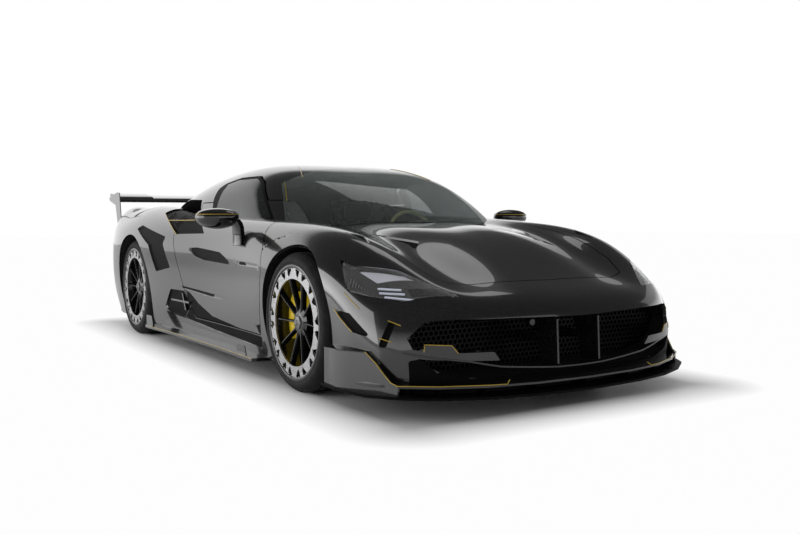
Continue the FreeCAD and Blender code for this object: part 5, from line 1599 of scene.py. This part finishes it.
def build_mouth():
    nose_x = reach_over(BODY, [1, 2], 0)
    outline = dense([(y / 1000, z / 1000) for y, z in both_front(GRILLE_OUTLINE)], 0.03)
    front, back = [], []
    for y, z in outline:
        front.append((nose_x(y, z) - 0.022, y * 1.001, z))
        back.append((AXLE + MESH_X / 1000, y * 0.97, 0.29 + (z - 0.29) * 0.93))
    n = len(outline)
    faces = [[i, (i + 1) % n, n + (i + 1) % n, n + i] for i in range(n)]
    walls = mesh_object("mouth_duct", front + back, faces, [FINISH["matt"]])
    turn_towards(walls, (AXLE + 0.85, 0, 0.29))
    dress(walls, "body", "front_grille")
    # A dark sheet behind the honeycomb: painted shadow of the duct's depth
    shadow_sheet = prism([(y * 1000, z * 1000) for _, y, z in back], "front", MESH_X - 16, MESH_X - 12)
    fixed("radiator_dark", [shadow_sheet], "painted_shadow", "grille")
    pitch = 0.026
    spots = []
    field = [(y, z) for _, y, z in back]
    for row in range(40):
        for column in range(-40, 41):
            y, z = (column + (row % 2) * 0.5) * pitch, 0.12 + row * pitch * 0.866
            spots.append((AXLE + MESH_X / 1000, y, z))
    spots = np.array(spots)
    spots = spots[outline_field(spots[:, 1:], field) < -0.004]
    ring = []
    for r, x in ((pitch * 0.577, 0.0), (pitch * 0.577 - 0.0028, 0.0), (pitch * 0.577 - 0.0028, -0.009)):
        ring.append([(x, r * math.sin(math.pi * k / 3), r * math.cos(math.pi * k / 3)) for k in range(6)])
    points = np.concatenate([np.array(r) for r in ring])
    faces = [[a * 6 + k, a * 6 + (k + 1) % 6, (a + 1) * 6 + (k + 1) % 6, (a + 1) * 6 + k]
             for a in (0, 1) for k in range(6)]
    cell = mesh_object("grille_cell", points, [f[::-1] for f in faces], [FINISH["grille"]], smooth=False)
    dress(on_spots("honeycomb_mesh", spots, cell, "grille"), "body")
    vane = prism([(975, 404), (800, 404), (850, 300), (870, 194), (985, 204)], "side", 120, 130)
    stay = prism([(715, 280), (860, 290), (860, 325), (715, 330)], "side", 121, 129)
    fixed("mouth_vanes", pair(vane, stay), "paint", "paint", 0.002)
    sensor = prism([(y - 272, z + 398) for y, z in circle(15, 24)], "front", 940, 978)
    fixed("nose_sensor", [sensor], "trim", "trim", 0.003)
    eye = lathe([(0.008, 0), (0.02, 0), (0.02, 0.043), (0.018, 0.045), (0.008, 0.045)], 32)
    eye = along_x(eye, AXLE + 0.715, -0.4, 0.24)
    fixed("towing_eye_socket", [eye], "steel", "steel", round_angle=50)


def turn_towards(obj, middle_point):
    """Turns each face of an open sheet towards a point."""
    mesh = obj.data
    work = bmesh.new()
    work.from_mesh(mesh)
    target = Vector(middle_point)
    bmesh.ops.reverse_faces(work, faces=[f for f in work.faces
                                         if f.normal.dot(target - f.calc_center_median()) < 0])
    work.to_mesh(mesh)
    work.free()
    mesh.update()


LAMP_BLADE = [(484, 857, 622), (625, 722, 609), (642, 600, 592), (717, 500, 559), (695, 579, 573),
              (588, 826, 576)]
LAMP_BAND = [(698, 742, 556), (765, 540, 543), (839, 540, 516), (739, 743, 523)]
LAMP_BARS = (((608, 834, 552), (688, 764, 549)), ((625, 837, 535), (712, 762, 532)),
             ((654, 827, 519), (758, 740, 509)))


def on_skin(skin, points, facing, off=0.0):
    """Moves points along a direction onto a skin, by the nearest of a dense grid."""
    grid = skin.grid(np.linspace(0, 1, 700), np.linspace(0.5, 1, 500)).reshape(-1, 3)
    right, rise, n = facing_axes(facing)
    flat = np.stack([grid @ right, grid @ rise], 1)
    moved = []
    for p in points:
        p = np.array(p)
        away = ((flat - np.array([p @ right, p @ rise])) ** 2).sum(1)
        near = np.argmin(away - 1e-3 * (grid @ n > p @ n - 0.1))
        moved.append(p + n * (grid[near] @ n - p @ n + off))
    return moved


def build_lamps():
    blade, band = facing_field(LAMP_BLADE, LAMP_FACING), facing_field(LAMP_BAND, LAMP_FACING)
    lens = panel_part(BODY, [inside(LAMP_FIELD, 0.0015)], rim=0.003, step=0.014)
    panel("headlamp_lenses", lens, ("lens",), "headlamps")
    sheet = Sheet(BODY, [inside(LAMP_FIELD, 0.001)], 0.01)
    sheet.cut(inside(LAMP_FIELD, 0.01), both=True, tag=1)
    sheet.cut(blade, both=True, tag=2)
    sheet.cut(band, both=True, tag=3)
    points, faces, tags, normals, _ = sheet_data(sheet, [level(0.02)])
    # The band inside each lamp takes the painted shadow finish
    bowl = mesh_object("headlamp_bowls", points, faces,
                       [FINISH[n] for n in ("trim", "matt", "lamp_blade", "painted_shadow")], tags, normals=normals,
                       plain=[True] * len(faces))
    dress(bowl, "body")
    right, rise, n = facing_axes(LAMP_FACING)
    bars = []
    for ends in LAMP_BARS:
        a, b = (np.array(p) / 1000 + np.array([AXLE, 0, 0]) for p in ends)
        a, b = on_skin(BODY, [a, b], LAMP_FACING, -0.014)
        along = (b - a) / np.linalg.norm(b - a)
        up = np.cross(n, along)
        rings = [[p + up * 0.0045 - n * 0.004, p - up * 0.0045 - n * 0.004, p - up * 0.0035 + n * 0.002,
                  p + up * 0.0035 + n * 0.002] for p in (a, a + (b - a) * 0.5, b)]
        bars += [loft(rings), other_side(loft(rings))]
    fixed("headlamp_bars", bars, "lamp_light", "lamp_lens", 0.001)
    rib_start, rib_step = np.array([0.478, 0.893, 0.566]), np.array([0.0125, -0.0075, -0.003])
    a = on_skin(BODY, [rib_start + np.array([AXLE, 0, 0])], LAMP_FACING, -0.017)[0]
    up = rise * 0.02
    side_way = right * 0.0016
    rib = loft([[a - up - side_way - n * 0.004, a - up + side_way - n * 0.004, a - up + side_way + n * 0.002,
                 a - up - side_way + n * 0.002],
                [a + up - side_way - n * 0.004, a + up + side_way - n * 0.004,
                 a + up + side_way + n * 0.002, a + up - side_way + n * 0.002]])
    for name, shape, step in (("left", rib, rib_step),
                              ("right", other_side(rib), rib_step * np.array([1, -1, 1]))):
        ribs = repeated(solid(f"lamp_ribs_{name}", [shape], "trim"), "row", "trim", Count=9,
                        Step=[float(v) for v in step])
        dress(ribs, "body")


# Tail
# The lit stripes: height, half height, a place across the car, and whether a stripe lies outwards of it
TAIL_STRIPES = ((0.702, 0.011, 0.46, True), (0.676, 0.007, 0.5, True), (0.702, 0.004, 0.46, False))


def stripe_field(height, half, edge, outwards):
    sign = 1 if outwards else -1
    return lambda p: np.maximum(np.abs(p[:, 2] - height) - half, sign * (edge - np.abs(p[:, 1])))


def build_tail():
    sheet = Sheet(BODY, [TAIL_FIELD], 0.014)
    sheet.cut(front_field([(0, 652), (560, 652), (700, 668), (775, 694), (752, 728), (0, 728)], -3800, -3440),
              both=True, tag=1)
    for stripe in TAIL_STRIPES:
        sheet.cut(stripe_field(*stripe), both=True, tag=2)
    points, faces, tags, *_ = sheet_data(sheet, [sunk(TAIL_FIELD, 0.008, 0.006)])
    band = mesh_object("tail_lamp_band", points, faces, [FINISH[n] for n in ("trim", "grille", "tail")], tags)
    dress(band, "body", "tail_lamps")
    spots = []
    for row in range(3):
        for column in range(-16, 17):
            spots.append((AXLE - 3.628, (column + row % 2 * 0.5) * 0.024, 0.662 + row * 0.0208))
    cell = lathe([(0.0105, -0.004), (0.0135, -0.004), (0.0135, 0.004), (0.0105, 0.004)], 6)
    cell = solid("tail_cell", [along_x(cell)], "grille")
    dress(on_spots("tail_mesh", spots, cell, "grille"), "body")
    section = [(-3396, 986), (-3402, 1000), (-3440, 1018), (-3520, 1032), (-3680, 1050), (-3681, 1045),
               (-3600, 1020), (-3500, 994), (-3440, 984)]
    raised = [(-3430, 1014), (-3470, 1032), (-3560, 1047), (-3679, 1062), (-3680, 1046), (-3560, 1034)]
    step = prism(raised, "side", 560, 852)
    blade = solid("wing_blade", [prism(section, "side", -856, 856), step, other_side(step)], "trim", 0.0015)
    dress(blade, "body", "rear_wing")
    plate = [(-3332, 762), (-3352, 900), (-3382, 1060), (-3450, 1066), (-3688, 1029), (-3680, 1001),
             (-3502, 962), (-3442, 800), (-3432, 742)]
    plate = prism(plate, "side", 852.5, 859.5)
    fixed("wing_end_plates", pair(plate), "paint", "paint", 0.0015)
    tray = prism([(-3050, 97), (-3050, 109), (-3300, 150), (-3610, 250), (-3648, 250), (-3630, 200),
                  (-3300, 110)],
                 "side", -700, 700)
    fixed("diffuser_tray", [tray], "carbon", "aero", 0.002, node="diffuser")
    fins = [prism([(-3200, 98), (-3200, 140), (-3640, 245), (-3658, 150), (-3600, 97)], "side", y - 4, y + 4)
            for y in (-520, -310, -105, 105, 310, 520)]
    fins += [prism([(-3042, 98), (-3052, 110), (-3300, 151), (-3610, 252), (-3638, 200), (-3560, 100)],
                   "side", y - 5, y + 5) for y in (-703, 703)]
    fixed("diffuser_fins", fins, "trim", "aero", 0.0015)
    tips, pipe_shadows = [], []
    for y in (EXHAUST_Y, -EXHAUST_Y):
        spot = (AXLE - 3.65, y, EXHAUST_Z)
        tip = lathe([(0.053, 0), (0.059, 0.002), (0.0598, 0.006), (0.0598, 0.168), (0.053, 0.168)], 64)
        tips.append(along_x(tip, *spot))
        # A dark disc inside each pipe: painted shadow
        pipe_shadow = lathe([(0, 0.07), (0, 0.074), (0.0528, 0.074), (0.0528, 0.07)], 48)
        pipe_shadows.append(along_x(pipe_shadow, *spot))
    fixed("tailpipes", tips, "pipe", "steel", node="exhaust_tips", round_angle=50)
    fixed("tailpipe_linings", pipe_shadows, "painted_shadow", "steel")
    seat = brick(-3634, -3600, -262, 262, 290, 405)
    fixed("plate_mount", [seat], "matt", "paint", 0.004)
    plate = brick(-3636.5, -3633, -260, 260, 292, 403)
    fixed("blank_plate", [plate], "plate", "trim", 0.0015)


# Sides
BLADE = [(-400, 880), (-420, 985), (-1000, 975), (-1700, 985), (-2170, 1010), (-2230, 1005), (-2200, 880)]


def build_sides():
    blade = prism(BLADE, "plan", 97, 115.5)
    fixed("skirt_blades", pair(blade), "trim", "aero", 0.002)
    rear_fin = prism([(-2200, 112), (-2196, 186), (-2085, 189), (-2062, 150), (-2062, 112)], "side", 1000,
                     1006)
    front_fin = prism([(-700, 112), (-690, 158), (-585, 159), (-562, 112)], "side", 950, 956)
    fins = [rear_fin, front_fin]
    fixed("skirt_fins", pair(*fins), "paint", "aero", 0.001)
    edge = metres([(-422, 984, 114), (-1000, 975, 114), (-1700, 985, 114), (-2170, 1009, 114)])
    lined("skirt_pinstripe", [edge, mirrored_run(edge)], 0.0018, "gold")
    spar = prism([(-1905, 318), (-1560, 322), (-1556, 310), (-1905, 306)], "side", 900, 925)
    leg = prism([(-1700, 370), (-1684, 370), (-1620, 262), (-1640, 262)], "side", 897, 922)
    fixed("duct_bars", pair(spar, leg), "paint", "aero", 0.001)
    for name, side in SIDES:
        build_mirror(name, side)
    build_scoops()


MIRROR_MIDDLE = (-0.75, 1.036, 0.856)
MIRROR_HALF = (0.096, 0.121, 0.064)


def build_mirror(name, side):
    steps, rows = 48, 24
    back = -0.05
    rings = []
    for k in range(rows + 1):
        x = back + (MIRROR_HALF[0] * 0.9995 - back) * math.sin(math.pi / 2 * k / rows) ** 0.9
        share = math.sqrt(max(1e-6, 1 - (x / MIRROR_HALF[0]) ** 2))
        ring = []
        for j in range(steps):
            a = 2 * math.pi * j / steps
            y, z = MIRROR_HALF[1] * share * math.cos(a), MIRROR_HALF[2] * share * math.sin(a)
            dent = 0.014 * max(0.0, math.sin(a)) ** 2 * share
            ring.append((x, y, z - dent))
        rings.append(ring)
    body = f"door_{name}"
    centre = Vector((AXLE + MIRROR_MIDDLE[0], side * MIRROR_MIDDLE[1], MIRROR_MIDDLE[2]))
    head = solid(f"mirror_head_{name}", [loft(rings)], "trim", round_angle=50)
    dress(set_at(head, centre, side), body, f"mirror_{name}")
    share = math.sqrt(1 - 0.018 ** 2 / MIRROR_HALF[2] ** 2)
    loop = []
    for j in range(49):
        a = -math.pi * 0.62 + 2 * math.pi * 0.62 * j / 48
        x, y = MIRROR_HALF[0] * share * math.cos(a), MIRROR_HALF[1] * share * math.sin(a)
        loop.append((max(x, back), y, 0.0165))
    dress(set_at(wire(f"mirror_pinstripe_{name}", [loop], 0.0022, "gold"), centre, side), body)
    share = math.sqrt(1 - (back / MIRROR_HALF[0]) ** 2)
    wide, tall = MIRROR_HALF[1] * share * 0.93, MIRROR_HALF[2] * share * 0.86
    glass = [[(back - 0.0004 - t, wide * c, tall * s - 0.004) for c, s in circle(1, steps)]
             for t in (0.0, 0.001)]
    dress(set_at(solid(f"mirror_glass_{name}", [loft(glass)], "mirror"), centre, side), body)
    stalk = []
    for z, grow, lean in ((0.7, 1.0, 0.0), (0.75, 0.96, 0.0), (0.8, 0.97, 0.004), (0.826, 1.05, 0.016),
                          (0.846, 1.25, 0.04)):
        ring = [(-0.695, 0.922), (-0.706, 0.934), (-0.76, 0.945), (-0.797, 0.93), (-0.798, 0.902),
                (-0.76, 0.884), (-0.704, 0.893)]
        stalk.append([(-0.748 + (x + 0.748) * grow - MIRROR_MIDDLE[0], 0.915 + (y - 0.915) * grow + lean
                       - MIRROR_MIDDLE[1], z - MIRROR_MIDDLE[2]) for x, y in ring])
    dress(set_at(solid(f"mirror_stalk_{name}", [loft(stalk)], "trim", 0.003, 3), centre, side), body)


def build_scoops():
    # The throats sink 85 mm and take the painted shadow finish
    sheet = Sheet(CABIN, [SCOOP_FIELD, lambda p: BODY_HEIGHTS.over(p) - 0.08 - p[:, 2]], 0.018)
    points, faces, tags, *_ = sheet_data(sheet, [sunk(SCOOP_FIELD, 0.085, 0.03)])
    dress(mesh_object("scoop_throats", points, faces, [FINISH["painted_shadow"]], tags), "body")
    side_y = reach_over(CABIN, [0, 2], 1)
    run = [(x / 1000 + AXLE, z / 1000) for x, z in
           [(-1790, 842), (-1960, 842), (-2180, 864), (-2400, 888), (-2560, 908), (-2730, 930)]]
    run = [(x, side_y(x, z) - 0.002, z + 0.004) for x, z in run]
    lined("scoop_pinstripe", [run, mirrored_run(run)], 0.0025, "gold")
    pinstripes(SHOULDER_RUNS, BODY, radius=0.003)
    bars = []
    for x, low, high in ((-1880, 800, 900), (-2080, 850, 915)):
        run = skin_run(BODY, [(x, 890, low), (x, 830, high)], -0.004).tolist()
        bars += [run, mirrored_run(run)]
    lined("scoop_bars", bars, 0.003, "paint")


# Cabin
SEAT_Y = 370
WHEEL_TILT = math.radians(22)
WHEEL_MIDDLE = Vector((-0.93, 0.37, 0.73))


PAD_SIDES = 28
PAD_END = 0.55               # a pad's end rings as a share of the next
PAD_UNDER = 0.55             # thickness of a pad's back as a share of its front


def cushion(name, y, rows, finish):
    """A crowned pad through rows of (along, up, half width, half thickness, forwards direction)."""
    rings = []
    for x, z, half, thick, out_way in rows:
        centre, out_way = np.array([AXLE + x / 1000, y, z / 1000]), np.array(out_way, float)
        out_way /= np.linalg.norm(out_way)
        ring = []
        for k in range(PAD_SIDES):
            a = 2 * math.pi * k / PAD_SIDES
            c, s = math.cos(a), math.sin(a)
            across = math.copysign(abs(c) ** 0.6, c) * half
            lift = math.copysign(abs(s) ** 0.75, s) * thick * (1.0 if s > 0 else PAD_UNDER)
            ring.append(centre + np.array([0, across, 0]) + out_way * lift)
        rings.append(np.array(ring))
    first, last = (ring.mean(0) + (ring - ring.mean(0)) * PAD_END for ring in (rings[0], rings[-1]))
    pad = solid(name, [loft([first, *rings, last])], finish, round_angle=80)
    pad = puffed(pad)
    smooth = pad.modifiers.new("Smooth", "SUBSURF")
    smooth.levels = smooth.render_levels = 1
    pad = refinished(plain_mesh(pad), finish)
    pad.data.polygons.foreach_set("use_smooth", np.ones(len(pad.data.polygons), bool))
    dress(pad, "body")


PUFF_CAP = 0.012
PUFF_VOXEL, PUFF_PRESSURE, PUFF_FRAMES = 0.012, 3.0, 12


def corners_of(obj):
    places = np.zeros(len(obj.data.vertices) * 3)
    obj.data.vertices.foreach_get("co", places)
    return places.reshape(-1, 3)


def puffed(pad):
    """Blows a pad up by cloth simulation, no further than a cap."""
    remesh = pad.modifiers.new("Remesh", "REMESH")
    remesh.mode, remesh.voxel_size = "VOXEL", PUFF_VOXEL
    pad = plain_mesh(pad)
    before = corners_of(pad)
    cloth = pad.modifiers.new("Cloth", "CLOTH")
    cloth.settings.use_pressure = True
    cloth.settings.uniform_pressure_force = PUFF_PRESSURE
    cloth.settings.effector_weights.gravity = 0
    cloth.point_cache.frame_start, cloth.point_cache.frame_end = 1, PUFF_FRAMES
    scene = bpy.context.scene
    for step in range(1, PUFF_FRAMES + 1):
        scene.frame_set(step)
        bpy.context.view_layer.update()
    pad = plain_mesh(pad)
    scene.frame_set(1)
    move = corners_of(pad) - before
    size = np.linalg.norm(move, axis=1, keepdims=True)
    move *= np.minimum(1, PUFF_CAP / np.maximum(size, 1e-9))
    pad.data.vertices.foreach_set("co", (before + move).ravel())
    pad.data.update()
    return pad


SHELL = [(-985, 132), (-985, 262), (-1010, 284), (-1300, 236), (-1452, 270), (-1628, 730), (-1665, 985),
         (-1722, 985), (-1718, 760), (-1640, 320), (-1560, 132)]


SEAT_PADS = {
    "seat_base": ("suede", [
        (-1000, 292, 0.19, 0.026, (0.1, 0, 1)), (-1100, 284, 0.2, 0.034, (0.1, 0, 1)),
        (-1220, 266, 0.196, 0.036, (0.15, 0, 1)), (-1330, 262, 0.186, 0.034, (0.3, 0, 1)),
        (-1415, 290, 0.176, 0.028, (0.6, 0, 0.8))]),
    "seat_back": ("leather", [
        (-1470, 350, 0.176, 0.028, (0.95, 0, 0.35)), (-1510, 460, 0.186, 0.036, (0.95, 0, 0.35)),
        (-1560, 590, 0.19, 0.036, (0.95, 0, 0.3)), (-1612, 720, 0.184, 0.032, (0.97, 0, 0.2)),
        (-1636, 800, 0.15, 0.026, (0.98, 0, 0.15))]),
    "headrest": ("suede", [
        (-1640, 840, 0.1, 0.022, (0.98, 0, 0.15)), (-1648, 880, 0.118, 0.03, (0.99, 0, 0.1)),
        (-1652, 925, 0.118, 0.03, (1, 0, 0)), (-1654, 962, 0.096, 0.022, (1, 0, 0))]),
}
BOLSTER = [(-1002, 300), (-1120, 300), (-1260, 282), (-1370, 290), (-1440, 340), (-1500, 450), (-1560, 600),
           (-1620, 740)]
BOLSTER_OUT = 0.196


def build_seat(name, side):
    y = side * SEAT_Y / 1000
    for label, (finish, rows) in SEAT_PADS.items():
        cushion(f"{label}_{name}", y, rows, finish)
    rolls = [[(AXLE + x / 1000, y + edge * BOLSTER_OUT, z / 1000) for x, z in BOLSTER] for edge in (-1, 1)]
    lined(f"seat_bolsters_{name}", rolls, 0.026, "leather")
    piping = [[(x + 0.004, roll_y - math.copysign(0.02, roll_y - y), z + 0.018) for x, roll_y, z in roll]
              for roll in rolls]
    lined(f"seat_piping_{name}", piping, 0.0025, "gold")


def build_cabin():
    shell = prism(SHELL, "side", SEAT_Y - 222, SEAT_Y + 222)
    fixed("seat_shells", pair(shell), "carbon", "seat_leather", 0.012, 3, node="seats")
    for name, side in SIDES:
        build_seat(name, side)
    dash = prism([(-398, 612), (-398, 768), (-480, 800), (-640, 806), (-762, 794), (-808, 764), (-796, 690),
                  (-704, 606), (-560, 566), (-430, 566)], "side", -672, 672)
    fixed("dash_pad", [dash], "leather", "trim", 0.014, 3, node="dashboard")
    hood = prism([(-640, 800), (-700, 836), (-812, 826), (-822, 790), (-800, 770)], "side", 240, 500)
    screen = prism([(-812, 700), (-806, 780), (-812, 781), (-819, 700)], "side", 268, 472)
    middle_screen = prism([(-800, 690), (-812, 768), (-817, 768), (-806, 688)], "side", -130, 130)
    fixed("instrument_hood", [hood], "leather", "trim", 0.01, 3)
    fixed("displays", [screen, middle_screen], "display", "trim", 0.003)
    stripe = metres([(-806, 660, 742), (-812, 260, 742), (-812, 140, 742)])
    stripe_right = metres([(-812, -140, 742), (-806, -660, 742)])
    lined("dash_piping", [stripe, stripe_right], 0.003, "gold")
    console = prism([(-560, 300), (-560, 560), (-760, 560), (-960, 420), (-1500, 400), (-1760, 430),
                     (-1760, 300)],
                    "side", -100, 100)
    fixed("centre_console", [console], "leather", "trim", 0.012, 3)
    vents = [prism([(-808, 700), (-816, 724), (-820, 724), (-812, 698)], "side", y - 45, y + 45)
             for y in (-600, -400, 560)]
    fixed("dash_vents", vents, "matt", "trim", 0.002)
    bulkhead = prism([(-770, 400), (770, 400), (770, 840), (640, 900), (560, 1060), (-560, 1060), (-640, 900),
                      (-770, 840)], "front", -1800, -1790)
    fixed("rear_bulkhead", [bulkhead], "suede", "trim", 0.002)
    fin = prism([(-1655, 1160), (-1690, 1192), (-1735, 1197), (-1755, 1150)], "side", -7, 7)
    fixed("roof_antenna", [fin], "trim", "trim", 0.004, 3)
    pinstripes({"roof_pinstripe": [(-1163, 342, 1176), (-1010, 400, 1145), (-866, 458, 1094)]}, CABIN)
    build_steering_wheel()
    edge_run = []
    top = reach_over(CABIN, [0, 1], 2)
    for x, y in ((-880, -566), (-800, -598), (-700, -640), (-600, -678)):
        edge_run.append((AXLE + x / 1000, y / 1000, top(AXLE + x / 1000, y / 1000) - 0.022))
    lined("pillar_piping", [edge_run, mirrored_run(edge_run)], 0.003, "gold")
    blade = skin_run(CABIN, [(-175, 60, 725), (-230, 300, 735), (-360, 560, 745)], 0.009)
    arm = skin_run(CABIN, [(-215, 250, 732), (-330, 480, 740), (-420, 600, 730)], 0.013)
    lined("wiper", [blade.tolist(), arm.tolist()], 0.0055, "matt")


def build_steering_wheel():
    tilt = Matrix.Rotation(math.radians(-90) - WHEEL_TILT, 4, "Y")
    centre = Vector((AXLE, 0, 0)) + WHEEL_MIDDLE
    steps, sides = 72, 16
    ring = []
    for k in range(steps):
        a = 2 * math.pi * k / steps
        flat = 0.172 - 0.01 * max(0.0, math.cos(a - math.pi)) ** 8
        thick = 0.0122 - 0.0012 * math.cos(4 * a) ** 2
        ring.append([(math.cos(a) * (flat + thick * math.cos(b)), math.sin(a) * (flat + thick * math.cos(b)),
                      thick * math.sin(b)) for b in (2 * math.pi * j / sides for j in range(sides))])
    points = np.concatenate([np.array(r) for r in ring])
    faces = [[i * sides + j, i * sides + (j + 1) % sides, (i + 1) % steps * sides + (j + 1) % sides,
              (i + 1) % steps * sides + j] for i in range(steps) for j in range(sides)]
    grip = solid("steering_grip", [(points, faces)], "yellow_leather", round_angle=80)
    hub_shape = along_z(lathe([(0, -0.014), (0.052, -0.014), (0.06, -0.009), (0.06, 0.013), (0, 0.013)], 48))
    bars = []
    for angle in (math.pi / 2, -math.pi / 2, math.pi):
        c, s = math.cos(angle), math.sin(angle)
        rings = []
        for r, w, z in ((0.045, 0.017, 0.0), (0.1, 0.013, 0.002), (0.164, 0.012, 0.0)):
            rings.append([(c * r - s * a, s * r + c * a, z + b) for a, b in
                          ((-w, -0.005), (w, -0.005), (w, 0.005), (-w, 0.005))])
        bars.append(loft(rings))
    stub = along_z(lathe([(0, 0), (0.025, 0), (0.025, 0.089), (0, 0.089)], 32))
    spider = solid("steering_hub", [hub_shape, stub] + bars, "matt", 0.0015)
    for obj, node in ((grip, "steering_wheel"), (spider, None)):
        obj = plain_mesh(obj)
        obj.data.transform(Matrix.Translation(centre) @ tilt)
        obj.data.update()
        dress(obj, "steering_wheel", node)


# Engine cover and finishes of the plain solids
def build_cover():
    top = reach_over(CABIN, [0, 1], 2)
    spots, count = [], 8
    for k in range(count):
        x = AXLE - 2.23 - k * 0.105
        spots.append((x, 0.0, top(x, 0.0) + 0.002))
    slat = []
    for y in np.linspace(-0.26, 0.26, 13):
        sag = -0.16 * y * y
        slat.append([(-0.034, y, sag - 0.006), (0.03, y, sag + 0.01), (0.034, y, sag + 0.006),
                     (-0.03, y, sag - 0.01)])
    slat = solid("cover_slat", [loft(slat)], "trim")
    dress(on_spots("cover_louvres", spots, slat, "trim"), "engine_cover")
    plenum = prism([(-2480, 655), (-2460, 700), (-2060, 700), (-2030, 655)], "side", -110, 110)
    fixed("intake_plenum", [plenum], "carbon", "alloy", 0.012, 3)
    rib = brick(-2470, -2455, -104, 104, 700, 708)
    rib = solid("plenum_rib", [rib], "alloy", 0.001)
    dress(repeated(rib, "row", "alloy", Count=10, Step=[0.044, 0.0, 0.0]), "body")


CARRIED = {"door_hinges": "steel", "wheelhouses": "matt", "tub": "chassis", "nose_box": "chassis",
           "engine": "alloy", "suspension": "steel", "knuckle_front_left": "alloy",
           "knuckle_front_right": "alloy"}


def finish_carried():
    for node, finish in CARRIED.items():
        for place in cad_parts[node].material_slots:
            place.material = FINISH[finish]


# Add-on
class CarLook(bpy.types.PropertyGroup):
    paint: FloatVectorProperty(name="Paint", description="Colour of the body under its lacquer",
                               subtype="COLOR", size=3, default=(0.006, 0.006, 0.007), min=0, max=1)
    lacquer_index: FloatProperty(name="Lacquer index", description="How strongly the lacquer mirrors",
                                 default=1.75, min=1.0, max=3.0)
    pinstripe: FloatVectorProperty(name="Pinstripe", description="Colour of the fine edges", subtype="COLOR",
                                   size=3, default=(0.62, 0.42, 0.04), min=0, max=1)
    # Also the colour of the calipers' painted glow
    caliper: FloatVectorProperty(name="Calipers", description="Colour of the brake calipers", subtype="COLOR",
                                 size=3, default=(0.72, 0.52, 0.02), min=0, max=1)


class CarStudio(bpy.types.PropertyGroup):
    fill: FloatProperty(name="Fill", description="World light on the car", default=0.42, min=0)
    overhead: FloatProperty(name="Overhead", description="World mirrored from overhead", default=0.06, min=0)
    side_glow: FloatProperty(name="Side softboxes", description="Brightness of the side softboxes",
                             default=2.0, min=0)
    front_glow: FloatProperty(name="Front softbox", description="Brightness of the front softbox",
                              default=0.45, min=0)
    top_glow: FloatProperty(name="Top softbox", description="Brightness of the top softbox", default=0.7,
                            min=0)


class CAR_OT_stage(bpy.types.Operator):
    """Sets the camera, the floor and the studio light"""
    bl_idname = "car.stage"
    bl_label = "Stage"

    def execute(self, context):
        build_stage(context.scene.car_studio)
        return {"FINISHED"}


class CAR_OT_finishes(bpy.types.Operator):
    """Mixes the paints, metals, glass and leather"""
    bl_idname = "car.finishes"
    bl_label = "Finishes"

    def execute(self, context):
        FINISH.update(finishes(context.scene.car_look))
        return {"FINISHED"}


class CAR_OT_panels(bpy.types.Operator):
    """Builds the painted panels and the glass"""
    bl_idname = "car.panels"
    bl_label = "Panels and glass"

    def execute(self, context):
        build_panels()
        return {"FINISHED"}


class CAR_OT_wheels(bpy.types.Operator):
    """Builds the tyres, rims, discs and calipers"""
    bl_idname = "car.wheels"
    bl_label = "Wheels and brakes"

    def execute(self, context):
        build_trees()
        build_wheels()
        return {"FINISHED"}


class CAR_OT_nose(bpy.types.Operator):
    """Builds the splitter, the mouth and the headlamps"""
    bl_idname = "car.nose"
    bl_label = "Nose"

    def execute(self, context):
        build_nose()
        return {"FINISHED"}


class CAR_OT_tail(bpy.types.Operator):
    """Builds the tail lamps, wing, diffuser, tailpipes and plate"""
    bl_idname = "car.tail"
    bl_label = "Tail"

    def execute(self, context):
        build_tail()
        return {"FINISHED"}


class CAR_OT_sides(bpy.types.Operator):
    """Builds the skirt blades, mirrors and roof scoops"""
    bl_idname = "car.sides"
    bl_label = "Sides"

    def execute(self, context):
        build_sides()
        return {"FINISHED"}


class CAR_OT_cabin(bpy.types.Operator):
    """Builds the seats, dashboard, steering wheel and wiper"""
    bl_idname = "car.cabin"
    bl_label = "Cabin"

    def execute(self, context):
        build_cabin()
        return {"FINISHED"}


class CAR_OT_cover(bpy.types.Operator):
    """Builds the engine cover's slats and the intake"""
    bl_idname = "car.cover"
    bl_label = "Engine cover"

    def execute(self, context):
        build_cover()
        return {"FINISHED"}


class CAR_OT_carried(bpy.types.Operator):
    """Finishes the plain solids that stay in sight"""
    bl_idname = "car.carried"
    bl_label = "Plain solids"

    def execute(self, context):
        finish_carried()
        return {"FINISHED"}


GROUPS = ((CarLook, "car_look"), (CarStudio, "car_studio"))
OPERATORS = (CAR_OT_stage, CAR_OT_finishes, CAR_OT_panels, CAR_OT_wheels, CAR_OT_nose, CAR_OT_tail,
             CAR_OT_sides, CAR_OT_cabin, CAR_OT_cover, CAR_OT_carried)


class CAR_PT_panel(bpy.types.Panel):
    bl_label = "Supercar"
    bl_space_type = "VIEW_3D"
    bl_region_type = "UI"
    bl_category = "Car"

    def draw(self, context):
        for group, name in GROUPS:
            values = getattr(context.scene, name)
            for key in group.__annotations__:
                self.layout.prop(values, key)
        for operator in OPERATORS:
            self.layout.operator(operator.bl_idname)


def register():
    for group, name in GROUPS:
        bpy.utils.register_class(group)
        setattr(bpy.types.Scene, name, PointerProperty(type=group))
    for operator in OPERATORS:
        bpy.utils.register_class(operator)
    bpy.utils.register_class(CAR_PT_panel)


def unregister():
    bpy.utils.unregister_class(CAR_PT_panel)
    for operator in reversed(OPERATORS):
        bpy.utils.unregister_class(operator)
    for group, name in reversed(GROUPS):
        delattr(bpy.types.Scene, name)
        bpy.utils.unregister_class(group)


def main():
    register()
    for operator in OPERATORS:
        section, name = operator.bl_idname.split(".")
        getattr(getattr(bpy.ops, section), name)()


if __name__ == "__main__":
    main()
